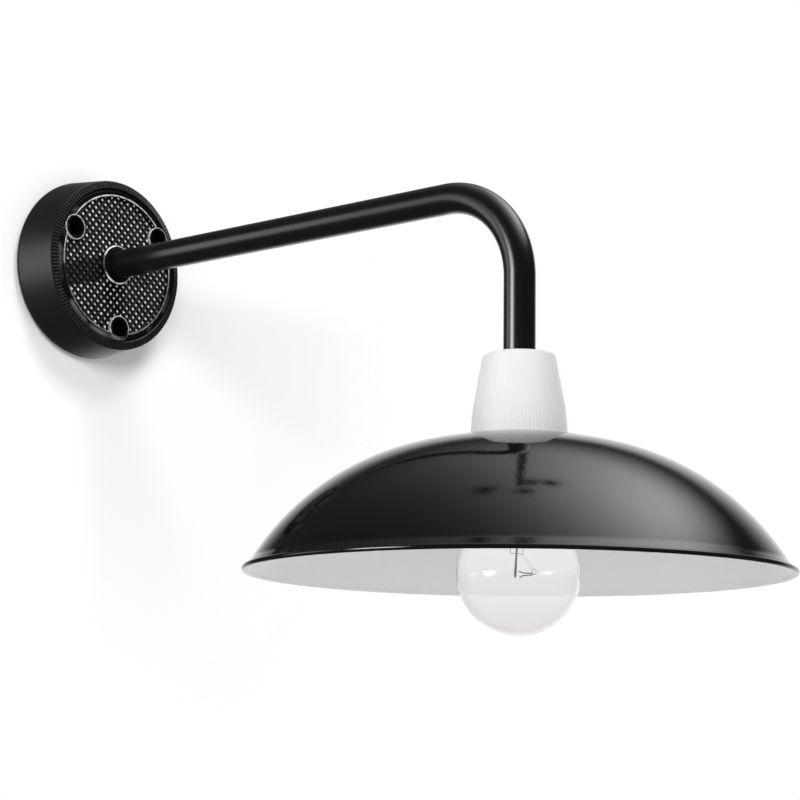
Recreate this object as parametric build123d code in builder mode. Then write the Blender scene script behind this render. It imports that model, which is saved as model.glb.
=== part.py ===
from build123d import *
import os
from math import acos, asin, atan2, cos, degrees, hypot, radians, sin, sqrt

# A wall lamp. The wall is the plane X = 0, the arm runs out along +X and Z is up.
# All lengths are millimetres and all angles are degrees.

# Wall base
BASE_DEPTH = 31.0  # wall to the front of the knurled rim
BASE_REAR_D = 104.4  # widest circle, close to the wall
BASE_TAPER = 2.6  # how far the side draws in towards the front
RIM_W = 4.9  # width of the knurled rim
BASE_ROUND = 5.5  # rounding at the wall
BACK_WALL = 4.0
SIDE_WALL = 5.0
SCREW_FLOOR = 1.0  # metal left behind the blind holes of the back wall
RIM_SLOPE = 1.0  # how far the rim falls back towards its outer edge
RIM_EDGE = 0.6  # chamfers along both edges of the rim
KNURL_COUNT = 150
KNURL_DEPTH = 0.6
KNURL_WIDTH = 1.5
WALL_HOLE_D = 5.5
WALL_HOLE_SPACING = 60.0
ENTRY_Z = 17.0  # height of the cable entry above the arm's axis
ENTRY_D = 14.0
ENTRY_BORE_D = 10.0  # bore of the grommet
GROMMET_LIP = 2.0

# Front plate
PLATE_GAP = 0.5  # between the plate's edge and the rim
PLATE_T = 4.0
PLATE_INSET = 0.4  # the plate's land lies this far behind the rim
PLATE_TURN = 4.0  # the plate's pattern as it was mounted
BEAD_INSET = 3.4  # plate's edge to the middle of the raised bead
BEAD_W = 1.1
BEAD_H = 0.7
FIELD_DROP = 1.4  # land to the floor of the pyramid field
PYRAMID_PITCH = 3.5
PYRAMID_H = 1.1
WELL_COUNT = 3
WELL_INSET = 7.0  # plate's edge to the middle of each well
WELL_D = 10.4
WELL_FLOOR = 2.0
COLLAR_D = 14.6  # raised collar round each well
COLLAR_H = 0.9
BOSS_D = 23.0  # raised ring round the arm
BOSS_H = 1.0

# Arm
TUBE_D = 16.0
TUBE_WALL = 1.5
ARM_REACH = 326.0  # wall to the axis of the drop
BEND_R = 47.0  # on the tube's centre line
DROP_LENGTH = 86.0  # arm axis to the top of the lampholder
ARM_COLLAR_D = 19.4
ARM_COLLAR_T = 2.6
ARM_COLLAR_SINK = 0.6  # its seat below the plate's land
ARM_WASHER_D = 26.0
ARM_WASHER_T = 1.5
ARM_NUT_AF = 22.0
ARM_NUT_T = 5.0
TUBE_TAIL = 2.0  # tube standing out behind its nut

# Lampholder
CAP_TOP_D = 35.8  # where its cone would meet the top
CAP_KNEE_D = 45.2
CAP_FOOT_D = 47.2
CAP_SHOULDER = 2.2
CAP_KNEE_DROP = 26.5  # cap top to where the cone turns upright
CAP_H = 41.0  # cap top to the shade's seat
CAP_TOP_WALL = 7.0
CAP_ROOM_D = 30.0  # wiring space under the cap's top
WIRE_ROOM = 17.0  # height of that space
INSERT_D = 33.8
INSERT_H = 12.0
POCKET_D = 19.0  # pocket under the insert, for the centre contact
POCKET_H = 5.0
NECK_D = 34.0  # threaded neck of the skirt, inside the cap
SKIRT_BORE_D = 28.6
FLANGE_D = 52.0
FLANGE_T = 4.8
SKIRT_H = 13.0  # below the flange
SKIRT_D = 38.0
GRIP_COUNT = 16
GASKET_T = 1.0
SHELL_D = 27.8
SHELL_T = 0.5
SHELL_H = 22.0
TERMINAL_Y = 9.0  # of the two terminals, off the drop's axis
TERMINAL_L = 7.0
TERMINAL_W = 6.0
TERMINAL_H = 6.0
TERMINAL_SINK = 2.0
RIVET_D = 2.4
LEAF_W = 4.0
LEAF_T = 0.5
NIPPLE_D = 10.0
NIPPLE_BORE_D = 6.8
BUSH_L = 12.0
NIPPLE_NUT_AF = 14.0
NIPPLE_NUT_T = 3.0
NIPPLE_WASHER_T = 1.0

# Shade
SHADE_D = 268.0
SHADE_H = 67.6  # rim to the flat seat on top
SHADE_T = 1.2  # sheet with its enamel
SEAT_D = 49.0  # flat seat under the lampholder
CROWN_R = 207.2  # of the dome's top
SHOULDER_R = 125.2  # of the dome's lower part
LIP_W = 4.7  # how far the lip flares out below the dome
LIP_H = 5.6
ROLL_D = 2.4  # rolled edge of the lip

# Bulb
BULB_D = 60.4
BULB_LENGTH = 102.6  # foot contact to the bottom of the glass
GLASS_T = 0.7
NECK_ANGLE = 50.0  # where the globe turns into the neck
BULB_NECK_D = 25.2
BULB_CAP_D = 26.2
BULB_CAP_T = 0.35
BULB_CAP_L = 28.0  # foot contact to the cap's open end
FOOT_D = 9.0
FOOT_H = 1.0
INSULATOR_D = 18.0
INSULATOR_H = 3.5
CAP_TAPER = 2.0  # height of the cap's sloping shoulder
SEAL_DEPTH = 8.0  # glass neck inside the cap
PRESS_DROP = 24.0  # seal to the end of the stem's tube
STEM_D = 2.4
STEM_TIP = 2.4  # how far the stem reaches below the middle of the globe
LEAD_D = 0.6
LEAD_SPREAD = 4.0  # stem to the foot of each lead
LEAD_RISE = 11.5  # stem's tip to the feet of the leads
HOOK_REACH = 7.0  # stem to the end of the hooked support
HOOK_GAP = 1.1  # between the hook's two limbs
HOOK_RISE = 1.8  # stem's tip to the middle of the hook
FILAMENT_WIRE = 0.5
FILAMENT_SLACK = 1.8  # how far the corner of its turn, before rounding, lies past the hook
BULB_TURN = 40.0  # direction of the hook round the drop, as the bulb is screwed in
LEAD_TURN = 40.0  # between the hook and the line of the leads, so that the filament clears the stem

# Wiring
WIRE_D = 2.2
WIRE_SPACING = 2.9  # between the two wires in the tube
WIRE_ENTRY = 2.0  # where the wires turn towards the tube, behind its end
POLE_SPACING = 10.0
BLOCK_W = 30.0
BLOCK_H = 13.0
BLOCK_T = 12.0
BLOCK_TOP_Z = -15.0
SLEEVE_D = 5.0
GRUB_D = 2.5
EARTH_Z = 2.0  # height of the earth boss, straight above its pole
EARTH_BOSS_D = 9.0
LUG_T = 0.8
LUG_BARREL_L = 7.0
WIRE_LEAD = 7.0  # straight wire above the terminal block
WIRE_TURN_R = 9.0  # bends of the wires in the base
WIRE_KINK_R = 3.3  # bends of the wires under the nipple

# Fits and small features
EDGE = 0.5  # rounding and setback of small edges
FIT = 0.05  # radial play of a screw or pin in its hole
PLAY = 0.3  # radial play of parts that only have to pass
SCREW_D = 4.0
SCREW_HEAD_D = 7.2
SCREW_HEAD_H = 2.8
SMALL_SCREW_D = 3.0
SMALL_HEAD_D = 5.4
SMALL_HEAD_H = 2.0
SLOT_W = 1.0
SLOT_DEPTH = 1.2

# Levels and radii that follow from the sizes above
tube_r = TUBE_D / 2
bore_r = tube_r - TUBE_WALL
base_front_r = BASE_REAR_D / 2 - BASE_TAPER
recess_r = base_front_r - RIM_W
plate_r = recess_r - PLATE_GAP
bead_r = plate_r - BEAD_INSET
well_circle_r = plate_r - WELL_INSET
land_x = BASE_DEPTH - PLATE_INSET
plate_rear_x = land_x - PLATE_T
field_x = land_x - FIELD_DROP
field_r = bead_r - BEAD_W / 2
boss_x = land_x + BOSS_H
washer_x = plate_rear_x - ARM_WASHER_T
arm_nut_x = washer_x - ARM_NUT_T
tube_tail_x = arm_nut_x - TUBE_TAIL
well_r = WELL_D / 2
well_rear_x = plate_rear_x - ARM_NUT_T
well_floor_x = well_rear_x + WELL_FLOOR
pillar_r = COLLAR_D / 2
well_angle = 30 + PLATE_TURN

cap_top_z = -DROP_LENGTH
cap_room_z = cap_top_z - CAP_TOP_WALL
insert_top_z = cap_room_z - WIRE_ROOM
insert_z = insert_top_z - INSERT_H
seat_z = cap_top_z - CAP_H
rim_z = seat_z - SHADE_H
gasket_z = seat_z - SHADE_T - GASKET_T
flange_z = gasket_z - FLANGE_T
skirt_z = flange_z - SKIRT_H
neck_r = NECK_D / 2
shell_r = SHELL_D / 2
foot_z = insert_z + FOOT_H
bulb_r = BULB_D / 2
globe_z = foot_z - BULB_LENGTH + bulb_r
cap_open_z = foot_z - BULB_CAP_L

# The drop's own plane: local x is the radius from the drop's axis, local y is the height
drop = Plane(origin=(ARM_REACH, 0, 0), x_dir=(1, 0, 0), z_dir=(0, -1, 0))
drop_axis = Axis((ARM_REACH, 0, 0), (0, 0, 1))


def across(x):
    """Plane square to the arm at distance x from the wall, its local x along Y and local y along Z."""
    return Plane.YZ.offset(x)


def level(z):
    """Plane square to the drop at height z, its origin on the drop's axis."""
    return Plane(origin=(ARM_REACH, 0, z), x_dir=(1, 0, 0), z_dir=(0, 0, 1))


# Wall base: a cup turned about the arm's axis, with a knurled front rim
base_slant_x = BASE_DEPTH - RIM_SLOPE
rim_inner_r = recess_r + RIM_EDGE
rim_outer_r = base_front_r - RIM_EDGE
rim_tilt = degrees(atan2(RIM_SLOPE, rim_outer_r - rim_inner_r))
rim_length = hypot(RIM_SLOPE, rim_outer_r - rim_inner_r)
cup_r = BASE_REAR_D / 2 - SIDE_WALL
block_mid_z = BLOCK_TOP_Z - BLOCK_H / 2
sleeve_x = BACK_WALL + BLOCK_T / 2
barrel_r = WIRE_D / 2 + LUG_T
lug_x = sleeve_x - barrel_r
earth_place = (POLE_SPACING, EARTH_Z)
fixing_place = (POLE_SPACING / 2, block_mid_z)
screw_hole_x = 2 * BACK_WALL

# One knurl groove, along the sloping rim at the local x axis of the base
with BuildPart() as knurl_groove:
    with BuildSketch(
        Plane(
            origin=(rim_inner_r, 0, BASE_DEPTH),
            x_dir=(0, 1, 0),
            z_dir=(cos(radians(rim_tilt)), 0, -sin(radians(rim_tilt))),
        )
    ):
        with BuildLine():
            Polyline(
                (-KNURL_WIDTH / 2, RIM_EDGE / 4),
                (KNURL_WIDTH / 2, RIM_EDGE / 4),
                (0, -KNURL_DEPTH),
                close=True,
            )
        make_face()
    extrude(amount=rim_length + 2 * RIM_EDGE)

with BuildPart(Plane.YZ) as wall_base:
    with BuildSketch(Plane.XY):
        with BuildLine():
            Line((0, 0), (0, BASE_REAR_D / 2 - BASE_ROUND))
            CenterArc((BASE_ROUND, BASE_REAR_D / 2 - BASE_ROUND), BASE_ROUND, 90, 90)
            Polyline(
                (BASE_ROUND, BASE_REAR_D / 2),
                (base_slant_x - RIM_EDGE, base_front_r),
                (base_slant_x, rim_outer_r),
                (BASE_DEPTH, rim_inner_r),
                (BASE_DEPTH - RIM_EDGE, recess_r),
                (well_rear_x, recess_r),
                (BACK_WALL, cup_r),
                (BACK_WALL, 0),
                (0, 0),
            )
        make_face()
    revolve(axis=Axis.X)
    with BuildSketch(across(BACK_WALL)):
        with PolarLocations(well_circle_r, WELL_COUNT, start_angle=well_angle):
            Circle(pillar_r)
    extrude(amount=well_rear_x - BACK_WALL)
    with BuildSketch(across(BACK_WALL)):
        with Locations(earth_place):
            Circle(EARTH_BOSS_D / 2)
    extrude(amount=lug_x - BACK_WALL)
    with BuildSketch(across(well_rear_x)):
        with PolarLocations(well_circle_r, WELL_COUNT, start_angle=well_angle):
            Circle(SCREW_D / 2)
    extrude(amount=-(well_rear_x - screw_hole_x), mode=Mode.SUBTRACT)
    with BuildSketch(across(lug_x)):
        with Locations(earth_place):
            Circle(SCREW_D / 2)
    extrude(amount=-(lug_x - SCREW_FLOOR), mode=Mode.SUBTRACT)
    with BuildSketch(across(BACK_WALL)):
        with Locations(fixing_place):
            Circle(SMALL_SCREW_D / 2)
    extrude(amount=-(BACK_WALL - SCREW_FLOOR), mode=Mode.SUBTRACT)
    with BuildSketch(across(0)):
        with Locations((-WALL_HOLE_SPACING / 2, 0), (WALL_HOLE_SPACING / 2, 0)):
            Circle(WALL_HOLE_D / 2)
        with Locations((0, ENTRY_Z)):
            Circle(ENTRY_D / 2)
    extrude(amount=BACK_WALL, mode=Mode.SUBTRACT)
    with PolarLocations(0, KNURL_COUNT):
        add(knurl_groove.part, mode=Mode.SUBTRACT)


# Rubber grommet in the cable entry, with a groove that takes the back wall
grommet_r = ENTRY_D / 2
with BuildPart() as cable_grommet:
    with BuildSketch(across(0)):
        with Locations((0, ENTRY_Z)):
            Circle(grommet_r - FIT)
            Circle(ENTRY_BORE_D / 2, mode=Mode.SUBTRACT)
    extrude(amount=BACK_WALL)
    with BuildSketch(across(BACK_WALL)):
        with Locations((0, ENTRY_Z)):
            Circle(grommet_r + GROMMET_LIP)
            Circle(ENTRY_BORE_D / 2, mode=Mode.SUBTRACT)
    extrude(amount=GROMMET_LIP)

# Front plate: a turned cover with a pyramid field, three screw wells and a ring round the arm
with BuildPart() as pyramid_field:
    for turn in (45, 135):
        with BuildSketch(
            Plane(
                origin=(field_x - PYRAMID_H, 0, 0),
                x_dir=(0, cos(radians(turn + PLATE_TURN)), sin(radians(turn + PLATE_TURN))),
                z_dir=(0, -sin(radians(turn + PLATE_TURN)), cos(radians(turn + PLATE_TURN))),
            )
        ):
            with BuildLine():
                half_count = int(field_r / PYRAMID_PITCH) + 1
                crest = [
                    (n * PYRAMID_PITCH / 2, -2 * PYRAMID_H if n % 2 else -PYRAMID_H)
                    for n in range(-2 * half_count, 2 * half_count + 1)
                ]
                Polyline(crest[0], *crest[1:])
                Polyline(crest[-1], (crest[-1][0], 0), (crest[0][0], 0), crest[0])
            make_face()
        extrude(
            amount=half_count * PYRAMID_PITCH,
            both=True,
            mode=Mode.ADD if turn == 45 else Mode.INTERSECT,
        )
    with BuildSketch(across(0)):
        Circle(field_r)
        Circle(BOSS_D / 2, mode=Mode.SUBTRACT)
    extrude(amount=BASE_DEPTH, mode=Mode.INTERSECT)

bead_outer_r = bead_r + BEAD_W / 2
field_floor_x = field_x - PYRAMID_H
collar_seat_x = land_x - ARM_COLLAR_SINK
with BuildPart() as front_plate:
    with BuildSketch(Plane.XY):
        with BuildLine():
            Polyline(
                (field_floor_x, field_r),
                (field_floor_x, BOSS_D / 2),
                (boss_x - EDGE, BOSS_D / 2),
                (boss_x, BOSS_D / 2 - EDGE),
                (boss_x, ARM_COLLAR_D / 2 + PLAY),
                (collar_seat_x, ARM_COLLAR_D / 2 + PLAY),
                (collar_seat_x, tube_r + PLAY),
                (plate_rear_x, tube_r + PLAY),
                (plate_rear_x, plate_r),
                (land_x - EDGE, plate_r),
                (land_x, plate_r - EDGE),
                (land_x, bead_outer_r),
            )
            ThreePointArc((land_x, bead_outer_r), (land_x + BEAD_H, bead_r), (land_x, field_r))
            Line((land_x, field_r), (field_floor_x, field_r))
        make_face()
    revolve(axis=Axis.X)
    add(pyramid_field.part)
    with BuildSketch(across(well_rear_x)):
        with PolarLocations(well_circle_r, WELL_COUNT, start_angle=well_angle):
            Circle(COLLAR_D / 2)
        Circle(plate_r, mode=Mode.INTERSECT)
    extrude(amount=land_x + COLLAR_H - well_rear_x)
    with BuildSketch(across(well_floor_x)):
        with PolarLocations(well_circle_r, WELL_COUNT, start_angle=well_angle):
            Circle(well_r)
    extrude(amount=BASE_DEPTH, mode=Mode.SUBTRACT)
    with BuildSketch(across(well_rear_x)):
        with PolarLocations(well_circle_r, WELL_COUNT, start_angle=well_angle):
            Circle(SCREW_D / 2 + PLAY)
    extrude(amount=WELL_FLOOR, mode=Mode.SUBTRACT)
    collar_edges = front_plate.edges().group_by(Axis.X)[-1]
    fillet(collar_edges, EDGE)

# Three slotted screws at the bottom of the wells, into the pillars of the base
with BuildPart() as plate_screws:
    with BuildSketch(across(well_floor_x)):
        with PolarLocations(well_circle_r, WELL_COUNT, start_angle=well_angle):
            Circle(SCREW_HEAD_D / 2)
    extrude(amount=SCREW_HEAD_H)
    with BuildSketch(across(well_floor_x)):
        with PolarLocations(well_circle_r, WELL_COUNT, start_angle=well_angle):
            Circle(SCREW_D / 2 - FIT)
    extrude(amount=-(well_floor_x - screw_hole_x - SCREW_FLOOR))
    with BuildSketch(across(well_floor_x + SCREW_HEAD_H)):
        with PolarLocations(well_circle_r, WELL_COUNT, start_angle=well_angle):
            Rectangle(SLOT_W, SCREW_HEAD_D)
    extrude(amount=-SLOT_DEPTH, mode=Mode.SUBTRACT)

# Arm: one tube with a single bend, clamped in the plate by a shoulder ring and a nut
with BuildPart() as arm_tube:
    with BuildLine():
        FilletPolyline(
            (tube_tail_x, 0, 0), (ARM_REACH, 0, 0), (ARM_REACH, 0, cap_top_z), radius=BEND_R
        )
    with BuildSketch(across(tube_tail_x)):
        Circle(tube_r)
        Circle(bore_r, mode=Mode.SUBTRACT)
    sweep()

with BuildPart() as arm_collar:
    with BuildSketch(across(collar_seat_x)):
        Circle(ARM_COLLAR_D / 2)
        Circle(tube_r + FIT, mode=Mode.SUBTRACT)
    extrude(amount=ARM_COLLAR_T)
    fillet(arm_collar.edges().group_by(Axis.X)[-1].sort_by(SortBy.RADIUS)[-1], EDGE)

with BuildPart() as arm_washer:
    with BuildSketch(across(washer_x)):
        Circle(ARM_WASHER_D / 2)
        Circle(tube_r + PLAY, mode=Mode.SUBTRACT)
    extrude(amount=ARM_WASHER_T)

with BuildPart() as arm_locknut:
    with BuildSketch(across(arm_nut_x)):
        RegularPolygon(ARM_NUT_AF / 2, 6, major_radius=False)
        Circle(tube_r + FIT, mode=Mode.SUBTRACT)
    extrude(amount=ARM_NUT_T)

# Terminal block on the back wall, one pole each for live, neutral and earth
poles = [-POLE_SPACING, 0, POLE_SPACING]
grub_z = [block_mid_z - BLOCK_H / 4, block_mid_z + BLOCK_H / 4]
grub_places = [(pole, z) for pole in poles for z in grub_z]
grub_tip_x = sleeve_x + WIRE_D / 2 + FIT
with BuildPart() as terminal_block:
    with BuildSketch(across(BACK_WALL)):
        with Locations((0, block_mid_z)):
            RectangleRounded(BLOCK_W, BLOCK_H, 2 * EDGE)
    extrude(amount=BLOCK_T)
    with BuildSketch(Plane.XY.offset(BLOCK_TOP_Z)):
        with Locations(*[(sleeve_x, pole) for pole in poles]):
            Circle(SLEEVE_D / 2 + FIT)
    extrude(amount=-BLOCK_H, mode=Mode.SUBTRACT)
    with BuildSketch(across(sleeve_x)):
        with Locations(*grub_places):
            Circle(GRUB_D / 2 + PLAY)
    extrude(amount=BLOCK_T, mode=Mode.SUBTRACT)
    with BuildSketch(across(BACK_WALL)):
        with Locations(fixing_place):
            Circle(SMALL_SCREW_D / 2 + PLAY)
    extrude(amount=BLOCK_T, mode=Mode.SUBTRACT)

with BuildPart() as terminal_sleeves:
    with BuildSketch(Plane.XY.offset(BLOCK_TOP_Z - EDGE)):
        with Locations(*[(sleeve_x, pole) for pole in poles]):
            Circle(SLEEVE_D / 2)
            Circle(WIRE_D / 2 + FIT, mode=Mode.SUBTRACT)
    extrude(amount=-(BLOCK_H - 2 * EDGE))
    with BuildSketch(across(sleeve_x)):
        with Locations(*grub_places):
            Circle(GRUB_D / 2 + FIT)
    extrude(amount=BLOCK_T, mode=Mode.SUBTRACT)

with BuildPart() as terminal_screws:
    with BuildSketch(across(grub_tip_x)):
        with Locations(*grub_places):
            Circle(GRUB_D / 2)
    extrude(amount=BACK_WALL + BLOCK_T - EDGE - grub_tip_x)
    with BuildSketch(across(BACK_WALL + BLOCK_T - EDGE)):
        with Locations(*grub_places):
            Rectangle(SLOT_W / 2, GRUB_D)
    extrude(amount=-SLOT_DEPTH, mode=Mode.SUBTRACT)

with BuildPart() as terminal_fixing_screw:
    with BuildSketch(across(BACK_WALL + BLOCK_T)):
        with Locations(fixing_place):
            Circle(SMALL_HEAD_D / 2)
    extrude(amount=SMALL_HEAD_H)
    with BuildSketch(across(BACK_WALL + BLOCK_T)):
        with Locations(fixing_place):
            Circle(SMALL_SCREW_D / 2 - FIT)
    extrude(amount=-(BLOCK_T + BACK_WALL / 2))
    with BuildSketch(across(BACK_WALL + BLOCK_T + SMALL_HEAD_H)):
        with Locations(fixing_place):
            Rectangle(SLOT_W, SMALL_HEAD_D)
    extrude(amount=-SMALL_HEAD_H / 2, mode=Mode.SUBTRACT)

# Earth: a crimped lug on the base's boss, its barrel in line with the third pole
barrel_top_z = EARTH_Z - EARTH_BOSS_D / 2
with BuildPart() as earth_lug:
    with BuildSketch(across(lug_x)):
        with Locations(earth_place):
            Circle(EARTH_BOSS_D / 2)
        with Locations((POLE_SPACING, barrel_top_z)):
            Rectangle(2 * barrel_r, EARTH_BOSS_D)
        with Locations(earth_place):
            Circle(SCREW_D / 2 + FIT, mode=Mode.SUBTRACT)
    extrude(amount=LUG_T)
    with BuildSketch(Plane.XY.offset(barrel_top_z)):
        with Locations((sleeve_x, POLE_SPACING)):
            Circle(barrel_r)
    extrude(amount=-LUG_BARREL_L)
    with BuildSketch(Plane.XY.offset(barrel_top_z)):
        with Locations((sleeve_x, POLE_SPACING)):
            Circle(WIRE_D / 2 + FIT)
    extrude(amount=-LUG_BARREL_L, mode=Mode.SUBTRACT)

with BuildPart() as earth_screw:
    with BuildSketch(across(lug_x + LUG_T)):
        with Locations(earth_place):
            Circle(SCREW_HEAD_D / 2)
    extrude(amount=SCREW_HEAD_H)
    with BuildSketch(across(lug_x + LUG_T)):
        with Locations(earth_place):
            Circle(SCREW_D / 2 - FIT)
    extrude(amount=-(lug_x + LUG_T - BACK_WALL))
    with BuildSketch(across(lug_x + LUG_T + SCREW_HEAD_H)):
        with Locations(earth_place):
            Rectangle(SLOT_W, SCREW_HEAD_D)
    extrude(amount=-SLOT_DEPTH, mode=Mode.SUBTRACT)

# Lampholder: a porcelain cap under the tube's end, held by a threaded nipple and a nut
nipple_nut_z = cap_room_z - NIPPLE_WASHER_T - NIPPLE_NUT_T
nipple_z = nipple_nut_z - EDGE
with BuildPart() as tube_end_bush:
    with BuildSketch(level(cap_top_z)):
        Circle(bore_r - FIT)
        Circle(NIPPLE_D / 2 + FIT, mode=Mode.SUBTRACT)
    extrude(amount=BUSH_L)

with BuildPart() as nipple:
    with BuildSketch(level(nipple_z)):
        Circle(NIPPLE_D / 2)
        Circle(NIPPLE_BORE_D / 2, mode=Mode.SUBTRACT)
    extrude(amount=cap_top_z + BUSH_L - nipple_z)

with BuildPart() as nipple_washer:
    with BuildSketch(level(cap_room_z)):
        Circle(NIPPLE_NUT_AF / 2 + NIPPLE_WASHER_T)
        Circle(NIPPLE_D / 2 + PLAY, mode=Mode.SUBTRACT)
    extrude(amount=-NIPPLE_WASHER_T)

with BuildPart() as nipple_nut:
    with BuildSketch(level(nipple_nut_z)):
        RegularPolygon(NIPPLE_NUT_AF / 2, 6, major_radius=False)
        Circle(NIPPLE_D / 2 + FIT, mode=Mode.SUBTRACT)
    extrude(amount=NIPPLE_NUT_T)

cap_knee = (CAP_KNEE_D / 2, cap_top_z - CAP_KNEE_DROP)
cap_foot = (CAP_FOOT_D / 2, seat_z)
cone_run = (cap_knee[0] - CAP_TOP_D / 2, cap_knee[1] - cap_top_z)
with BuildPart() as lamp_cap:
    with BuildSketch(drop):
        with BuildLine():
            FilletPolyline(
                (NIPPLE_D / 2 + PLAY, cap_top_z),
                (CAP_TOP_D / 2, cap_top_z),
                cap_knee,
                radius=CAP_SHOULDER,
            )
            TangentArc(cap_knee, cap_foot, tangent=cone_run)
            Polyline(
                cap_foot,
                (neck_r + FIT, seat_z),
                (neck_r + FIT, insert_top_z),
                (CAP_ROOM_D / 2, insert_top_z),
                (CAP_ROOM_D / 2, cap_room_z),
                (NIPPLE_D / 2 + PLAY, cap_room_z),
                (NIPPLE_D / 2 + PLAY, cap_top_z),
            )
        make_face()
    revolve(axis=drop_axis)

# Porcelain insert with its two terminals, the rivets to the contacts and the screw shell
pocket_z = insert_z + POCKET_H
terminal_places = [(0, -TERMINAL_Y), (0, TERMINAL_Y)]
live_rivet_y = -(TERMINAL_Y - TERMINAL_W / 4)
neutral_rivet_y = TERMINAL_Y + TERMINAL_W / 4 + RIVET_D / 4
rivet_places = [(0, live_rivet_y), (0, neutral_rivet_y)]
terminal_z = insert_top_z - TERMINAL_SINK
terminal_top_z = terminal_z + TERMINAL_H
holder_screw_z = insert_top_z + SMALL_HEAD_D / 2 - EDGE
with BuildPart() as socket_insert:
    with BuildSketch(level(insert_z)):
        Circle(INSERT_D / 2)
    extrude(amount=INSERT_H)
    with BuildSketch(level(insert_z)):
        Circle(POCKET_D / 2)
    extrude(amount=POCKET_H, mode=Mode.SUBTRACT)
    with BuildSketch(level(terminal_z)):
        with Locations(*terminal_places):
            Rectangle(TERMINAL_L + 2 * FIT, TERMINAL_W + 2 * FIT)
    extrude(amount=INSERT_H, mode=Mode.SUBTRACT)
    with BuildSketch(level(insert_z)):
        with Locations(*rivet_places):
            Circle(RIVET_D / 2 + FIT)
    extrude(amount=INSERT_H, mode=Mode.SUBTRACT)


def terminal(y):
    """Brass terminal at y, with a blind hole for the wire and a cross hole for its screw."""
    with BuildPart() as block:
        with BuildSketch(level(terminal_z)):
            with Locations((0, y)):
                Rectangle(TERMINAL_L, TERMINAL_W)
        extrude(amount=TERMINAL_H)
        with BuildSketch(level(insert_top_z - EDGE)):
            with Locations((0, y)):
                Circle(WIRE_D / 2 + FIT)
        extrude(amount=TERMINAL_H, mode=Mode.SUBTRACT)
        with BuildSketch(across(ARM_REACH)):
            with Locations((y, holder_screw_z)):
                Circle(GRUB_D / 2 + FIT)
        extrude(amount=TERMINAL_L, mode=Mode.SUBTRACT)
    return block


live_terminal = terminal(-TERMINAL_Y)
neutral_terminal = terminal(TERMINAL_Y)

with BuildPart() as holder_terminal_screws:
    with BuildSketch(across(ARM_REACH + WIRE_D / 2 + FIT)):
        with Locations((-TERMINAL_Y, holder_screw_z), (TERMINAL_Y, holder_screw_z)):
            Circle(GRUB_D / 2)
    extrude(amount=TERMINAL_L / 2 - WIRE_D / 2 - FIT)
    with BuildSketch(across(ARM_REACH + TERMINAL_L / 2)):
        with Locations((-TERMINAL_Y, holder_screw_z), (TERMINAL_Y, holder_screw_z)):
            Circle(SMALL_HEAD_D / 2 - 2 * EDGE)
    extrude(amount=SMALL_HEAD_H)
    with BuildSketch(across(ARM_REACH + TERMINAL_L / 2 + SMALL_HEAD_H)):
        with Locations((-TERMINAL_Y, holder_screw_z), (TERMINAL_Y, holder_screw_z)):
            Rectangle(SMALL_HEAD_D, SLOT_W)
    extrude(amount=-SMALL_HEAD_H / 2, mode=Mode.SUBTRACT)

with BuildPart() as contact_rivets:
    with BuildSketch(level(terminal_z)):
        with Locations((0, live_rivet_y)):
            Circle(RIVET_D / 2)
    extrude(amount=-(terminal_z - pocket_z))
    with BuildSketch(level(terminal_z)):
        with Locations((0, neutral_rivet_y)):
            Circle(RIVET_D / 2)
    extrude(amount=-(terminal_z - insert_z + SHELL_T))

with BuildPart() as screw_shell:
    with BuildSketch(drop):
        with BuildLine():
            Polyline(
                (POCKET_D / 2, insert_z),
                (shell_r, insert_z),
                (shell_r, insert_z - SHELL_H),
                (shell_r - SHELL_T, insert_z - SHELL_H),
                (shell_r - SHELL_T, insert_z - SHELL_T),
                (POCKET_D / 2, insert_z - SHELL_T),
                close=True,
            )
        make_face()
    revolve(axis=drop_axis)
    with BuildSketch(level(insert_z)):
        with Locations((0, neutral_rivet_y)):
            Circle(RIVET_D / 2 + FIT)
    extrude(amount=-SHELL_T, mode=Mode.SUBTRACT)

# Centre contact: a sprung leaf that presses on the foot of the bulb
leaf_root_z = pocket_z - PLAY
leaf_tip_z = foot_z + PLAY
leaf_root_y = live_rivet_y - RIVET_D / 2
leaf_bend_y = live_rivet_y + RIVET_D / 2 + EDGE
with BuildPart() as centre_contact:
    with BuildSketch(Plane(origin=(ARM_REACH, 0, 0), x_dir=(0, 1, 0), z_dir=(1, 0, 0))):
        with BuildLine():
            Polyline(
                (leaf_root_y, leaf_root_z),
                (leaf_bend_y, leaf_root_z),
                (-LEAF_W / 4, leaf_tip_z + LEAF_T),
                (LEAF_W, leaf_tip_z + LEAF_T),
                (LEAF_W, leaf_tip_z),
                (-LEAF_W / 4 - LEAF_T / 2, leaf_tip_z),
                (leaf_bend_y - LEAF_T / 2, leaf_root_z - LEAF_T),
                (leaf_root_y, leaf_root_z - LEAF_T),
                close=True,
            )
        make_face()
    extrude(amount=LEAF_W / 2, both=True)

# Porcelain skirt: screws into the cap from below and clamps the shade with its flange
with BuildPart() as holder_skirt:
    with BuildSketch(drop):
        with BuildLine():
            Polyline(
                (SKIRT_BORE_D / 2, insert_z),
                (neck_r, insert_z),
                (neck_r, gasket_z),
                (FLANGE_D / 2, gasket_z),
                (FLANGE_D / 2, flange_z),
                (SKIRT_D / 2, flange_z),
                (SKIRT_D / 2, skirt_z + 2 * EDGE),
                (SKIRT_D / 2 - 2 * EDGE, skirt_z),
                (SKIRT_BORE_D / 2, skirt_z),
                close=True,
            )
        make_face()
    revolve(axis=drop_axis)
    with BuildSketch(level(flange_z)):
        with PolarLocations(FLANGE_D / 2 + EDGE, GRIP_COUNT):
            Circle(FLANGE_T / 2)
    extrude(amount=FLANGE_T, mode=Mode.SUBTRACT)

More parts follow.
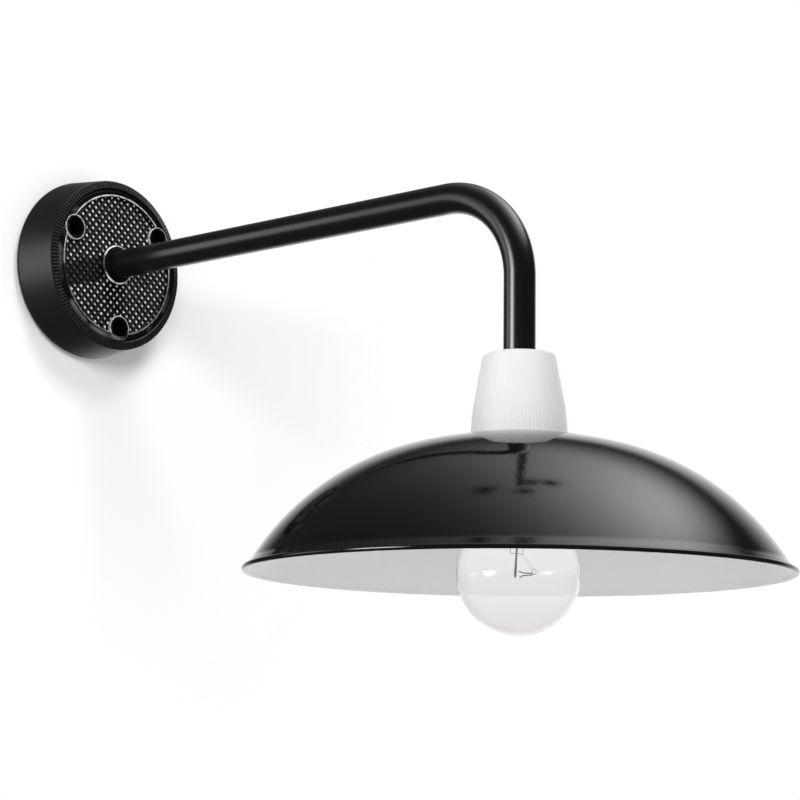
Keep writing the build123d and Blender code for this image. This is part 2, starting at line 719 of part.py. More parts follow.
with BuildPart() as shade_gasket:
    with BuildSketch(level(gasket_z)):
        Circle(SEAT_D / 2 - EDGE)
        Circle(neck_r + PLAY, mode=Mode.SUBTRACT)
    extrude(amount=GASKET_T)

# Shade: a flat seat, a crown arc, a tighter shoulder arc and a flared lip.
# The crown's circle is centred on the axis and passes the edge of the seat. The shoulder's circle
# touches it from inside and passes the foot of the dome, where the lip starts. A shade too narrow
# for its crown has the shoulder alone, on a circle through the edge of the seat and the foot.
seat_r = SEAT_D / 2
crown_c = (0, seat_z - sqrt(CROWN_R**2 - seat_r**2))
foot_run = (SHADE_D / 2 - LIP_W, rim_z + LIP_H - crown_c[1])
foot_reach = hypot(*foot_run)
shoulder_offset = CROWN_R - SHOULDER_R
turn_cosine = (foot_reach**2 + shoulder_offset**2 - SHOULDER_R**2) / (2 * shoulder_offset * foot_reach)
join_angle = degrees(atan2(*foot_run) - acos(turn_cosine))
shoulder_c = (
    shoulder_offset * sin(radians(join_angle)),
    crown_c[1] + shoulder_offset * cos(radians(join_angle)),
)
seat_angle = degrees(asin(seat_r / CROWN_R))
foot_angle = degrees(atan2(foot_run[0] - shoulder_c[0], crown_c[1] + foot_run[1] - shoulder_c[1]))
dome_arcs = [
    (crown_c, CROWN_R, seat_angle, join_angle),
    (shoulder_c, SHOULDER_R, join_angle, foot_angle),
]
if join_angle < seat_angle:
    seat_edge = Vector(seat_r, seat_z)
    dome_foot = Vector(foot_run[0], crown_c[1] + foot_run[1])
    half_chord = (dome_foot - seat_edge) / 2
    inwards = Vector(half_chord.Y, -half_chord.X).normalized()
    lone_c = seat_edge + half_chord + inwards * sqrt(SHOULDER_R**2 - half_chord.length**2)
    lone_start, lone_end = (degrees(atan2(*(end - lone_c).to_tuple()[:2])) for end in (seat_edge, dome_foot))
    dome_arcs = [((lone_c.X, lone_c.Y), SHOULDER_R, lone_start, lone_end)]


def dome_point(centre, radius, angle):
    """Point of a circle in the drop's plane, its angle measured from straight up."""
    return (centre[0] + radius * sin(radians(angle)), centre[1] + radius * cos(radians(angle)))


def dome_line(inset):
    """Crown and shoulder arcs of the dome, moved inwards by inset, from the seat to the foot."""
    for centre, radius, start, end in dome_arcs:
        ThreePointArc(
            dome_point(centre, radius - inset, start),
            dome_point(centre, radius - inset, (start + end) / 2),
            dome_point(centre, radius - inset, end),
        )


first_c, first_r, first_angle, _ = dome_arcs[0]
last_c, last_r, _, last_angle = dome_arcs[-1]
outer_seat = dome_point(first_c, first_r, first_angle)
inner_seat = dome_point(first_c, first_r - SHADE_T, first_angle)
outer_foot = dome_point(last_c, last_r, last_angle)
inner_foot = dome_point(last_c, last_r - SHADE_T, last_angle)
roll_r = ROLL_D / 2
rim_c = Vector(SHADE_D / 2 - roll_r, rim_z + roll_r)
lip_run = (rim_c - (Vector(*outer_foot) + Vector(*inner_foot)) / 2).normalized()
lip_out = Vector(-lip_run.Y, lip_run.X)
lip_end = rim_c - lip_run * sqrt(roll_r**2 - (SHADE_T / 2) ** 2)
lip_outer = lip_end + lip_out * SHADE_T / 2
lip_inner = lip_end - lip_out * SHADE_T / 2
with BuildPart() as shade:
    with BuildSketch(drop):
        with BuildLine():
            dome_line(0)
            dome_line(SHADE_T)
            Polyline(
                outer_seat,
                (neck_r + PLAY, outer_seat[1]),
                (neck_r + PLAY, inner_seat[1]),
                inner_seat,
            )
            Line(outer_foot, lip_outer)
            ThreePointArc(lip_outer, rim_c + lip_run * roll_r, lip_inner)
            Line(lip_inner, inner_foot)
        make_face()
    revolve(axis=drop_axis)

# Bulb: clear glass on a screw cap, with its stem, leads and filament
globe_c = (0, globe_z)
neck_start = (bulb_r * cos(radians(NECK_ANGLE)), globe_z + bulb_r * sin(radians(NECK_ANGLE)))
neck_turn_r = (neck_start[0] - BULB_NECK_D / 2) / (1 - cos(radians(NECK_ANGLE)))
neck_end_z = neck_start[1] + neck_turn_r * sin(radians(NECK_ANGLE))
seal_z = cap_open_z + SEAL_DEPTH


def glass_line(inset):
    """Globe, neck turn and straight neck of the bulb, moved inwards by inset."""
    globe = bulb_r - inset
    turn_c = (BULB_NECK_D / 2 + neck_turn_r, neck_end_z)
    CenterArc(globe_c, globe, -90, 90 + NECK_ANGLE)
    CenterArc(turn_c, neck_turn_r + inset, 180, NECK_ANGLE)
    Line((BULB_NECK_D / 2 - inset, neck_end_z), (BULB_NECK_D / 2 - inset, seal_z))


with BuildPart() as bulb_glass:
    with BuildSketch(drop):
        with BuildLine():
            glass_line(0)
            glass_line(GLASS_T)
            Line((0, globe_z - bulb_r), (0, globe_z - bulb_r + GLASS_T))
            Line((BULB_NECK_D / 2, seal_z), (BULB_NECK_D / 2 - GLASS_T, seal_z))
        make_face()
    revolve(axis=drop_axis)

foot_seat_z = foot_z - FOOT_H
insulator_z = foot_seat_z - INSULATOR_H
cap_shoulder_z = insulator_z - FIT - CAP_TAPER
plug_r = INSULATOR_D / 2 - EDGE
with BuildPart() as bulb_cap:
    with BuildSketch(drop):
        with BuildLine():
            Polyline(
                (plug_r + FIT, insulator_z - FIT),
                (INSULATOR_D / 2, insulator_z - FIT),
                (BULB_CAP_D / 2, cap_shoulder_z),
                (BULB_CAP_D / 2, cap_open_z),
                (BULB_CAP_D / 2 - BULB_CAP_T, cap_open_z),
                (BULB_CAP_D / 2 - BULB_CAP_T, cap_shoulder_z - BULB_CAP_T / 2),
                (INSULATOR_D / 2, insulator_z - FIT - BULB_CAP_T),
                (plug_r + FIT, insulator_z - FIT - BULB_CAP_T),
                close=True,
            )
        make_face()
    revolve(axis=drop_axis)

with BuildPart() as bulb_insulator:
    with BuildSketch(drop):
        with BuildLine():
            Polyline(
                (0, foot_seat_z),
                (FOOT_D / 2, foot_seat_z),
                (INSULATOR_D / 2, insulator_z + EDGE),
                (INSULATOR_D / 2, insulator_z),
                (plug_r, insulator_z),
                (plug_r, insulator_z - CAP_TAPER),
                (0, insulator_z - CAP_TAPER),
                close=True,
            )
        make_face()
    revolve(axis=drop_axis)

with BuildPart() as bulb_foot_contact:
    with BuildSketch(level(foot_seat_z)):
        Circle(FOOT_D / 2 - EDGE)
    extrude(amount=FOOT_H)
    fillet(bulb_foot_contact.edges().group_by(Axis.Z)[-1], FOOT_H - EDGE)

stem_r = STEM_D / 2
flare_r = BULB_NECK_D / 2 - GLASS_T - FIT
press_z = seal_z - PRESS_DROP
stem_end_z = globe_z - STEM_TIP
with BuildPart() as bulb_stem:
    with BuildSketch(drop):
        with BuildLine():
            Polyline(
                (0, seal_z),
                (flare_r, seal_z),
                (flare_r, seal_z - GLASS_T),
                (2 * stem_r, seal_z - flare_r),
                (2 * stem_r, press_z),
                (stem_r, press_z - stem_r),
                (stem_r, stem_end_z),
                (0, stem_end_z),
                close=True,
            )
        make_face()
    revolve(axis=drop_axis)

lead_foot_z = stem_end_z + LEAD_RISE
lead_angles = [BULB_TURN - LEAD_TURN, BULB_TURN - LEAD_TURN + 180]
hook_z = stem_end_z + HOOK_RISE
hook_root = stem_r + LEAD_D / 2 + FIT


def spoke(angle, radius, z):
    """Point at an angle round the drop's axis."""
    return (ARM_REACH + radius * cos(radians(angle)), radius * sin(radians(angle)), z)


def round_bar(route, diameter, radii):
    """Bar of round section along a route of straight runs joined by tangent arcs."""
    start = Vector(*route[0])
    with BuildPart() as bar:
        with BuildLine():
            if radii:
                FilletPolyline(*route, radius=radii)
            else:
                Line(*route)
        with BuildSketch(Plane(origin=route[0], z_dir=Vector(*route[1]) - start)):
            Circle(diameter / 2)
        sweep()
    return bar


leads = [
    round_bar(
        [
            spoke(angle, STEM_D + LEAD_D / 2 + FIT, press_z + LEAD_RISE),
            spoke(angle, LEAD_SPREAD, lead_foot_z + LEAD_D / 2 + FIT),
        ],
        LEAD_D,
        [],
    )
    for angle in lead_angles
]
with BuildPart() as bulb_lead_wires:
    for lead in leads:
        add(lead.part)

# Supports: a short arm from the stem to the foot of each lead, and one hook for the filament's turn
arms = [
    round_bar(
        [spoke(angle, stem_r + FIT, lead_foot_z), spoke(angle, LEAD_SPREAD + LEAD_D / 2, lead_foot_z)],
        LEAD_D,
        [],
    )
    for angle in lead_angles
]
hook = round_bar(
    [
        spoke(BULB_TURN, hook_root, hook_z + HOOK_GAP),
        spoke(BULB_TURN, HOOK_REACH / 2, hook_z + HOOK_GAP / 2),
        spoke(BULB_TURN, HOOK_REACH, hook_z + HOOK_GAP / 2),
        spoke(BULB_TURN, HOOK_REACH, hook_z - HOOK_GAP / 2),
        spoke(BULB_TURN, HOOK_REACH / 2, hook_z - HOOK_GAP / 2),
        spoke(BULB_TURN, hook_root, hook_z - HOOK_GAP),
    ],
    LEAD_D,
    [HOOK_GAP / 2 - FIT] * 4,
)
with BuildPart() as bulb_support_wires:
    for support in [*arms, hook]:
        add(support.part)

# Filament: from one lead's foot out to the hook's end and back to the other lead's foot
filament_reach = HOOK_REACH + LEAD_D / 2 + FILAMENT_SLACK
filament_drop = lead_foot_z - (LEAD_D + FILAMENT_WIRE) / 2 - FIT
bulb_filament = round_bar(
    [
        spoke(lead_angles[0], LEAD_SPREAD, filament_drop),
        spoke(BULB_TURN, filament_reach, hook_z),
        spoke(lead_angles[1], LEAD_SPREAD, filament_drop),
    ],
    FILAMENT_WIRE,
    [FILAMENT_WIRE],
)

# Wires: from the terminal block through the arm to the lampholder, and from the block to the lug
wire_end_z = insert_top_z - EDGE + FIT
wire_entry_x = tube_tail_x - WIRE_ENTRY
spread_z = nipple_z - WIRE_D


def lamp_wire(pole, side):
    """Wire from a pole of the block to the terminal on the same side of the lampholder."""
    return round_bar(
        [
            (sleeve_x, pole, block_mid_z),
            (sleeve_x, pole, BLOCK_TOP_Z + WIRE_LEAD),
            (wire_entry_x, side * WIRE_SPACING / 2, 0),
            (ARM_REACH, side * WIRE_SPACING / 2, 0),
            (ARM_REACH, side * WIRE_SPACING / 2, spread_z),
            (ARM_REACH, side * TERMINAL_Y, terminal_top_z + WIRE_D),
            (ARM_REACH, side * TERMINAL_Y, wire_end_z),
        ],
        WIRE_D,
        [WIRE_TURN_R, WIRE_TURN_R, BEND_R, WIRE_KINK_R, WIRE_KINK_R],
    )


live_wire = lamp_wire(-POLE_SPACING, -1)
neutral_wire = lamp_wire(0, 1)
earth_wire = round_bar(
    [
        (sleeve_x, POLE_SPACING, block_mid_z),
        (sleeve_x, POLE_SPACING, barrel_top_z),
    ],
    WIRE_D,
    [],
)

pieces = {
    "wall_base": wall_base,
    "cable_grommet": cable_grommet,
    "front_plate": front_plate,
    "plate_screws": plate_screws,
    "arm_tube": arm_tube,
    "arm_collar": arm_collar,
    "arm_washer": arm_washer,
    "arm_locknut": arm_locknut,
    "terminal_block": terminal_block,
    "terminal_sleeves": terminal_sleeves,
    "terminal_screws": terminal_screws,
    "terminal_fixing_screw": terminal_fixing_screw,
    "earth_lug": earth_lug,
    "earth_screw": earth_screw,
    "earth_wire": earth_wire,
    "live_wire": live_wire,
    "neutral_wire": neutral_wire,
    "tube_end_bush": tube_end_bush,
    "nipple": nipple,
    "nipple_washer": nipple_washer,
    "nipple_nut": nipple_nut,
    "lamp_cap": lamp_cap,
    "socket_insert": socket_insert,
    "live_terminal": live_terminal,
    "neutral_terminal": neutral_terminal,
    "holder_terminal_screws": holder_terminal_screws,
    "contact_rivets": contact_rivets,
    "screw_shell": screw_shell,
    "centre_contact": centre_contact,
    "holder_skirt": holder_skirt,
    "shade_gasket": shade_gasket,
    "shade": shade,
    "bulb_glass": bulb_glass,
    "bulb_cap": bulb_cap,
    "bulb_insulator": bulb_insulator,
    "bulb_foot_contact": bulb_foot_contact,
    "bulb_stem": bulb_stem,
    "bulb_lead_wires": bulb_lead_wires,
    "bulb_support_wires": bulb_support_wires,
    "bulb_filament": bulb_filament,
}
os.makedirs("parts", exist_ok=True)
for name, piece in pieces.items():
    piece.part.label = name
    export_step(piece.part, f"parts/{name}.step")
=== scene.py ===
"""Wall lamp: knurled black base, bent tube arm, porcelain lampholder, enamel shade and clear bulb."""

from math import acos, asin, atan2, cos, degrees, hypot, pi, radians, sin, sqrt

import bmesh
import bpy
from bpy.props import FloatProperty, FloatVectorProperty, IntProperty, PointerProperty
from mathutils import Matrix, Vector


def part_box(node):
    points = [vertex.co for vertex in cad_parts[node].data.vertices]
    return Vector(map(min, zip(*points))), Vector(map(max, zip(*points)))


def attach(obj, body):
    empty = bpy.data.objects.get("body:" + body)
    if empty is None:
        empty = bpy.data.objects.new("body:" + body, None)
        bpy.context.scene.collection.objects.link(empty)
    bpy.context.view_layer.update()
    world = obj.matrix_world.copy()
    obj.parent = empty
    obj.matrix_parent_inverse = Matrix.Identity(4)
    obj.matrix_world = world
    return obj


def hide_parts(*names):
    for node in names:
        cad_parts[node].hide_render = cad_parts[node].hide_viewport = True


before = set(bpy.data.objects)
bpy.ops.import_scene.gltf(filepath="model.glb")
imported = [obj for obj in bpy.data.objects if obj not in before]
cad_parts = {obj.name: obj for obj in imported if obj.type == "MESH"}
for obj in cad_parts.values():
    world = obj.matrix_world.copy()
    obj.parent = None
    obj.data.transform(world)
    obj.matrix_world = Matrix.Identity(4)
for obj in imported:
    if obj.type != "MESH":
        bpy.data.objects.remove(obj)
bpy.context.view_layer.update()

bl_info = {
    "name": "Enamel Wall Lamp",
    "version": (1, 0, 0),
    "blender": (4, 5, 0),
    "location": "View3D > Sidebar > Wall Lamp",
    "description": "Dresses a wall lamp: enamel shade, ribbed porcelain, clear bulb, black tube arm and base",
    "category": "Object",
}

MM = 0.001


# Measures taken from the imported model

shade_low, shade_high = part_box("shade")
cap_low, cap_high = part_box("lamp_cap")
glass_low, glass_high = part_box("bulb_glass")
screw_low, screw_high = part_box("bulb_cap")
shell_low, shell_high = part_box("screw_shell")
arm_low, arm_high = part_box("arm_tube")
stem_low, stem_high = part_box("bulb_stem")
lead_low, lead_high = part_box("bulb_lead_wires")
base_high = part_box("wall_base")[1]
plate_low, plate_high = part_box("front_plate")

drop_axis = ((shade_low.x + shade_high.x) / 2, (shade_low.y + shade_high.y) / 2)


def half_width(low, high):
    """Half of a box across the wall."""
    return (high.y - low.y) / 2


# The photograph's eye: its place and where it looks

VIEW_YAW = radians(-40.741)
VIEW_PITCH = radians(9.357)
VIEW_ROLL = radians(0.699)
VIEW_FROM = Vector((drop_axis[0] + 0.6691, -0.8663, -0.2894))
VIEW_RIGHT = Vector((cos(VIEW_YAW), -sin(VIEW_YAW), 0))
VIEW_AHEAD = Vector((sin(VIEW_YAW), cos(VIEW_YAW), 0))


# Sizes and colours that a user may change


def length(name, description, default):
    """A length in metres, shown in the scene's own unit."""
    return FloatProperty(
        name=name, description=description, default=default, min=0, unit="LENGTH", precision=5
    )


def colour(name, description, default):
    """A colour as light, without alpha."""
    return FloatVectorProperty(
        name=name, description=description, default=default, size=3, min=0, max=1, subtype="COLOR"
    )


def brightness(name, description, default):
    """How bright a light is against white."""
    return FloatProperty(name=name, description=description, default=default, min=0)


class ShadeSizes(bpy.types.PropertyGroup):
    """Spun steel shade"""

    rim_radius: length("Rim radius", "Outside of the flared lip", half_width(shade_low, shade_high))
    seat_radius: length("Seat radius", "Flat top that the porcelain stands on", 24.5 * MM)
    hole_radius: length("Hole radius", "Hole for the neck of the holder skirt", 17.3 * MM)
    crown_radius: length("Crown radius", "Curve of the dome near the top", 207.2 * MM)
    shoulder_radius: length("Shoulder radius", "Tighter curve of the dome lower down", 125.2 * MM)
    lip_width: length("Lip width", "How far the lip flares out", 4.7 * MM)
    lip_height: length("Lip height", "How far the lip reaches down", 5.6 * MM)
    roll_radius: length("Roll radius", "Rolled edge of the lip", 1.2 * MM)
    steel: length("Thickness", "Enamelled sheet", 1.2 * MM)


class PorcelainSizes(bpy.types.PropertyGroup):
    """Ribbed porcelain cap over the shade"""

    shoulder_radius: length("Top radius", "Cone's radius at the top, before rounding", 17.9 * MM)
    shoulder_round: length("Top rounding", "Rounding of the top edge", 2.2 * MM)
    knee_radius: length("Knee radius", "Where the cone turns to the foot", 22.6 * MM)
    knee_drop: length("Knee drop", "From the top to the knee", 26.5 * MM)
    foot_radius: length("Foot radius", "Radius on the shade", half_width(cap_low, cap_high))
    bore_radius: length("Bore radius", "Room for the screw shell", 17.05 * MM)
    room_radius: length("Wire room radius", "Room for the wires over the shell", 15.0 * MM)
    hole_radius: length("Hole radius", "Hole for the threaded nipple", 5.3 * MM)
    rib_depth: length("Rib depth", "Height of the fine upright ribs at the foot", 0.17 * MM)
    rib_count: IntProperty(
        name="Ribs", description="Fine upright ribs round the cap", default=84, min=12, max=200
    )


class BulbSizes(bpy.types.PropertyGroup):
    """Clear screw-in bulb"""

    globe_radius: length("Globe radius", "Outside of the glass ball", half_width(glass_low, glass_high))
    neck_radius: length("Neck radius", "Glass inside the screw cap", 12.6 * MM)
    neck_round: length("Neck curve", "Hollow curve between ball and neck", 19.07 * MM)
    wall: length("Glass thickness", "Wall of the ball", 0.35 * MM)
    thread_pitch: length("Thread pitch", "Rise of the round thread in one turn", 3.629 * MM)
    thread_depth: length("Thread depth", "From the thread's crest to its root", 0.7 * MM)
    rod_radius: length("Rod radius", "Glass rod that carries the filament", 0.6 * MM)
    rod_lean: length("Rod lean", "How far the end of the rod stands off the axis", 1.8 * MM)
    wire_radius: length("Wire radius", "Hooked support wire", 0.22 * MM)
    filament_radius: length("Filament radius", "Coiled filament", 0.04 * MM)


class ArmSizes(bpy.types.PropertyGroup):
    """Bent tube from the wall to the lampholder"""

    radius: length("Tube radius", "Outside of the tube", half_width(arm_low, arm_high))
    bore: length("Bore radius", "Inside of the tube", 6.5 * MM)
    bend: length("Bend radius", "Of the tube's middle line", 47.0 * MM)


class FinishColours(bpy.types.PropertyGroup):
    """Colours of the paints, metals, glazes and sleeves"""

    base_paint: colour("Base paint", "Satin black on the wall base", (0.004, 0.004, 0.0042))
    plate_paint: colour("Plate paint", "Gloss black on the front plate", (0.0025, 0.0025, 0.0027))
    tube_paint: colour("Tube paint", "Satin black on the arm", (0.0025, 0.0025, 0.0027))
    # Bare metal on worn edges and points, which also stands in for their glints as painted highlight
    bare_edge_and_glint: colour("Rubbed edge", "Bare metal on raised edges", (0.85, 0.85, 0.86))
    enamel_out: colour("Enamel outside", "Gloss black", (0.0035, 0.003, 0.003))
    enamel_in: colour("Enamel inside", "Gloss white", (0.86, 0.845, 0.845))
    porcelain: colour("Porcelain", "White glaze", (0.565, 0.553, 0.553))
    porcelain_hollow: colour("Porcelain hollows", "Glaze in the grooves between ribs", (0.51, 0.502, 0.5))
    steel: colour("Steel", "Zinc-plated fasteners", (0.56, 0.56, 0.57))
    black_steel: colour("Black steel", "Blackened plate screws", (0.05, 0.05, 0.053))
    brass: colour("Brass", "Terminals, contacts and screw shell", (0.72, 0.53, 0.25))
    cap_metal: colour("Cap metal", "Rolled aluminium of the bulb cap", (0.68, 0.68, 0.69))
    rubber: colour("Rubber", "Grommet and shade gasket", (0.026, 0.026, 0.026))
    block: colour("Terminal block", "Milky plastic", (0.78, 0.78, 0.74))
    brown_sleeve: colour("Live sleeve", "Brown wire", (0.17, 0.07, 0.032))
    blue_sleeve: colour("Neutral sleeve", "Blue wire", (0.04, 0.13, 0.42))
    green_sleeve: colour("Earth sleeve", "Green part of the earth wire", (0.05, 0.26, 0.06))
    yellow_stripe: colour("Earth stripe", "Yellow part of the earth wire", (0.72, 0.6, 0.05))
    glass: colour("Glass", "Clear bulb", (0.995, 0.99, 0.99))
    # The rod's dark tone is painted shade: the clear glass rod looks dark through the bulb
    rod: colour("Glass rod", "Smoky glass that carries the filament", (0.24, 0.23, 0.16))
    insulator: colour("Insulator", "Black glass round the foot contact", (0.02, 0.02, 0.024))
    wire: colour("Bulb wires", "Drawn wire inside the bulb", (0.12, 0.12, 0.11))


class StageSettings(bpy.types.PropertyGroup):
    """Wall, floor, light and camera"""

    wall_radius: length("Wall radius", "Where the wall has faded to white", 0.34)
    floor_drop: length("Floor drop", "From the middle of the base down to the floor", 1.6)
    backdrop: colour("Wall and floor", "Pale backdrop", (0.93, 0.93, 0.93))
    ambient: brightness("Ambient", "Soft light, mostly from below", 0.98)
    left_strip: brightness("Left strip", "Tall light on the left", 15.0)
    left_panel: brightness("Left panel", "Wide light beside the wall", 1.7)
    right_box: brightness("Right box", "High light on the right", 4.4)
    left_fill: brightness("Left fill", "Soft light on the left", 10.0)
    front_fill: brightness("Front fill", "Soft front light", 22.0)
    top_fill: brightness("Top fill", "Soft light above", 12.5)
    lens: FloatProperty(
        name="Lens", description="Focal length on a 36 mm frame", default=101.79, min=1, unit="CAMERA"
    )


# Shader trees


def operator(operation, swapped=False):
    """A Python operator that adds a Math node."""

    def method(self, other):
        first, second = (other, self) if swapped else (self, other)
        return self.tree.maths(operation, first, second)

    return method


class Socket:
    """A node's output that takes part in Python arithmetic."""

    __add__ = operator("ADD")
    __radd__ = operator("ADD", swapped=True)
    __sub__ = operator("SUBTRACT")
    __rsub__ = operator("SUBTRACT", swapped=True)
    __mul__ = operator("MULTIPLY")
    __rmul__ = operator("MULTIPLY", swapped=True)
    __pow__ = operator("POWER")

    def __init__(self, tree, output):
        self.tree = tree
        self.output = output

    def clamped(self):
        """Kept between 0 and 1."""
        return self.tree.node("ShaderNodeClamp", {}, {"Value": self})

    def ease(self, low, high):
        """0 below low, 1 above high and a smooth step between."""
        settings = {"interpolation_type": "SMOOTHSTEP"}
        inputs = {"Value": self, "From Min": low, "From Max": high, "To Min": 0.0, "To Max": 1.0}
        return self.tree.node("ShaderNodeMapRange", settings, inputs)

    def size(self):
        """Its size without its sign."""
        return self.tree.maths("ABSOLUTE", self, 0.0)

    def peak(self, tightness):
        """1 where this is 1, falling off below."""
        return self.tree.maths("EXPONENT", (self - 1) * tightness, 0.0)

    def larger(self, other):
        """The larger of two values."""
        return self.tree.maths("MAXIMUM", self, other)


class ShaderTree:
    """Nodes of one material, of a light or of the world."""

    def __init__(self, owner):
        owner.use_nodes = True
        self.owner = owner
        self.nodes = owner.node_tree.nodes
        self.links = owner.node_tree.links
        self.nodes.clear()

    def node(self, kind, settings, inputs, out=0):
        """Add a node: its settings first, then its sockets' values or links. Gives one of its outputs."""
        made = self.nodes.new(kind)
        for name, value in settings.items():
            setattr(made, name, value)
        for key, value in inputs.items():
            target = made.inputs[key]
            if isinstance(value, Socket):
                self.links.new(value.output, target)
            elif target.type == "RGBA":
                target.default_value = (*value, 1.0)
            else:
                target.default_value = value
        return Socket(self, made.outputs[out]) if made.outputs else None

    def maths(self, operation, first, second):
        """A Math node on two values."""
        return self.node("ShaderNodeMath", {"operation": operation}, {0: first, 1: second})

    def mix(self, share, first, second):
        """Blend two colours."""
        return self.node("ShaderNodeMix", {"data_type": "RGBA"}, {0: share, 6: first, 7: second}, out=2)

    def blend(self, share, first, second):
        """Blend two shaders."""
        return self.node("ShaderNodeMixShader", {}, {0: share, 1: first, 2: second})

    def geometry(self, out):
        """A fact about the place that a ray meets."""
        return self.node("ShaderNodeNewGeometry", {}, {}, out=out)

    def dot(self, first, second):
        """How far two directions agree."""
        return self.node("ShaderNodeVectorMath", {"operation": "DOT_PRODUCT"}, {0: first, 1: second}, out=1)

    def parts(self, vector):
        """The three numbers of a vector."""
        return [self.node("ShaderNodeSeparateXYZ", {}, {0: vector}, out=axis) for axis in range(3)]

    def place(self):
        """Position in the piece's own frame, in metres."""
        return self.node("ShaderNodeTexCoord", {}, {}, out="Object")

    def noise(self, per_metre, detail=2.0, stretch=(1, 1, 1), warp=0.0):
        """Soft noise with so many bumps to the metre, drawn out along the small axes of stretch."""
        vectors = {0: self.place(), 1: stretch}
        drawn = self.node("ShaderNodeVectorMath", {"operation": "MULTIPLY"}, vectors)
        inputs = {"Vector": drawn, "Scale": per_metre, "Detail": detail, "Distortion": warp}
        return self.node("ShaderNodeTexNoise", {}, inputs)

    def ray(self, *kinds):
        """1 for rays of any of these kinds."""
        found = self.node("ShaderNodeLightPath", {}, {}, out=kinds[0])
        for kind in kinds[1:]:
            found = found.larger(self.node("ShaderNodeLightPath", {}, {}, out=kind))
        return found


class Finish(ShaderTree):
    """A material for one of the lamp's finishes."""

    def __init__(self, name):
        super().__init__(bpy.data.materials.new(name))

    def rounded(self, radius):
        """The surface's direction with its sharp edges rounded off."""
        return self.node("ShaderNodeBevel", {"samples": 6}, {"Radius": radius})

    def edge(self, radius):
        """1 on sharp edges and 0 on faces, as far from the edge as radius."""
        flat = self.geometry("Normal")
        return ((1 - self.dot(self.rounded(radius), flat)) * 5).clamped()

    def bump(self, height, depth, normal=None):
        """Surface relief from a height between 0 and 1, depth in metres."""
        inputs = {"Strength": 1.0, "Distance": depth, "Height": height}
        if normal is not None:
            inputs["Normal"] = normal
        return self.node("ShaderNodeBump", {}, inputs)

    def surface(self, **sockets):
        """A surface, with its sockets named in words joined by underscores."""
        inputs = {socket_name(key): value for key, value in sockets.items()}
        return self.node("ShaderNodeBsdfPrincipled", {}, inputs)

    def show(self, surface):
        """Make this shader the material's own."""
        self.node("ShaderNodeOutputMaterial", {}, {"Surface": surface})
        return self.owner

    def paint(self, **sockets):
        """Make a surface with these sockets the material's own."""
        return self.show(self.surface(**sockets))


def socket_name(key):
    """Socket's name from a keyword."""
    return {"ior": "IOR", "specular_ior_level": "Specular IOR Level"}.get(key, key.replace("_", " ").title())


def away(first, second):
    """How far off a place is, from its two offsets."""
    return (first * first + second * second) ** 0.5


def scaled(tone, factor):
    """A colour made lighter or darker, up to white."""
    return [min(factor * level, 1) for level in tone]


# Finishes


def base_paint(paint, wear_and_glint):
    """Satin black paint with a fine grain, soft blotches of gloss and knurled teeth that are rubbed bare,
    where the bare metal also stands in for the teeth's glints as painted highlight.
    """
    finish = Finish("base_paint")
    grain = finish.noise(1500, detail=3)
    cloud = finish.noise(70, detail=4)
    facing = finish.parts(finish.geometry("Normal"))[0]
    depth = finish.parts(finish.place())[0]
    rim = base_high.x
    # The knurl's teeth worn bare, also standing in for their glints as painted highlight
    teeth = facing.ease(0.93, 0.99) * depth.ease(rim - 3 * MM, rim - 1.5 * MM)
    bright_mark = teeth * (0.2 + 0.8 * finish.noise(500, detail=4).ease(0.35, 0.65))
    tint = finish.mix(cloud * 0.35, paint, scaled(paint, 1.5))
    return finish.paint(
        base_color=finish.mix(bright_mark * 0.06, tint, wear_and_glint),
        metallic=0.5 * bright_mark,
        roughness=0.34 + 0.1 * (cloud - 0.5) + 0.05 * grain - 0.08 * bright_mark,
        specular_ior_level=0.5,
        normal=finish.bump(grain, 0.02 * MM, finish.rounded(0.2 * MM)),
    )


# Front plate: radii from its middle or from a well's, the wells' angles and depths behind its front
WELL_CIRCLE = 37.2 * MM
WELL_TURNS = (34, 154, 274)
WELL_CREST = 6.6 * MM
WELL_COLLAR = 7.2 * MM
BOSS_CREST = 10.4 * MM
BOSS_RADIUS = 11.5 * MM
BEAD_WIDTH = 3.95 * MM
RAISED_DEPTH = 0.6 * MM
POINT_DEPTH = 1.66 * MM

# Painted dark reflection of the arm on the plate, a band that runs on from the arm: its slope, half its width
# and where it ends
BAND_SLOPE = 0.32
BAND_HALF = 6 * MM
BAND_END = -7 * MM


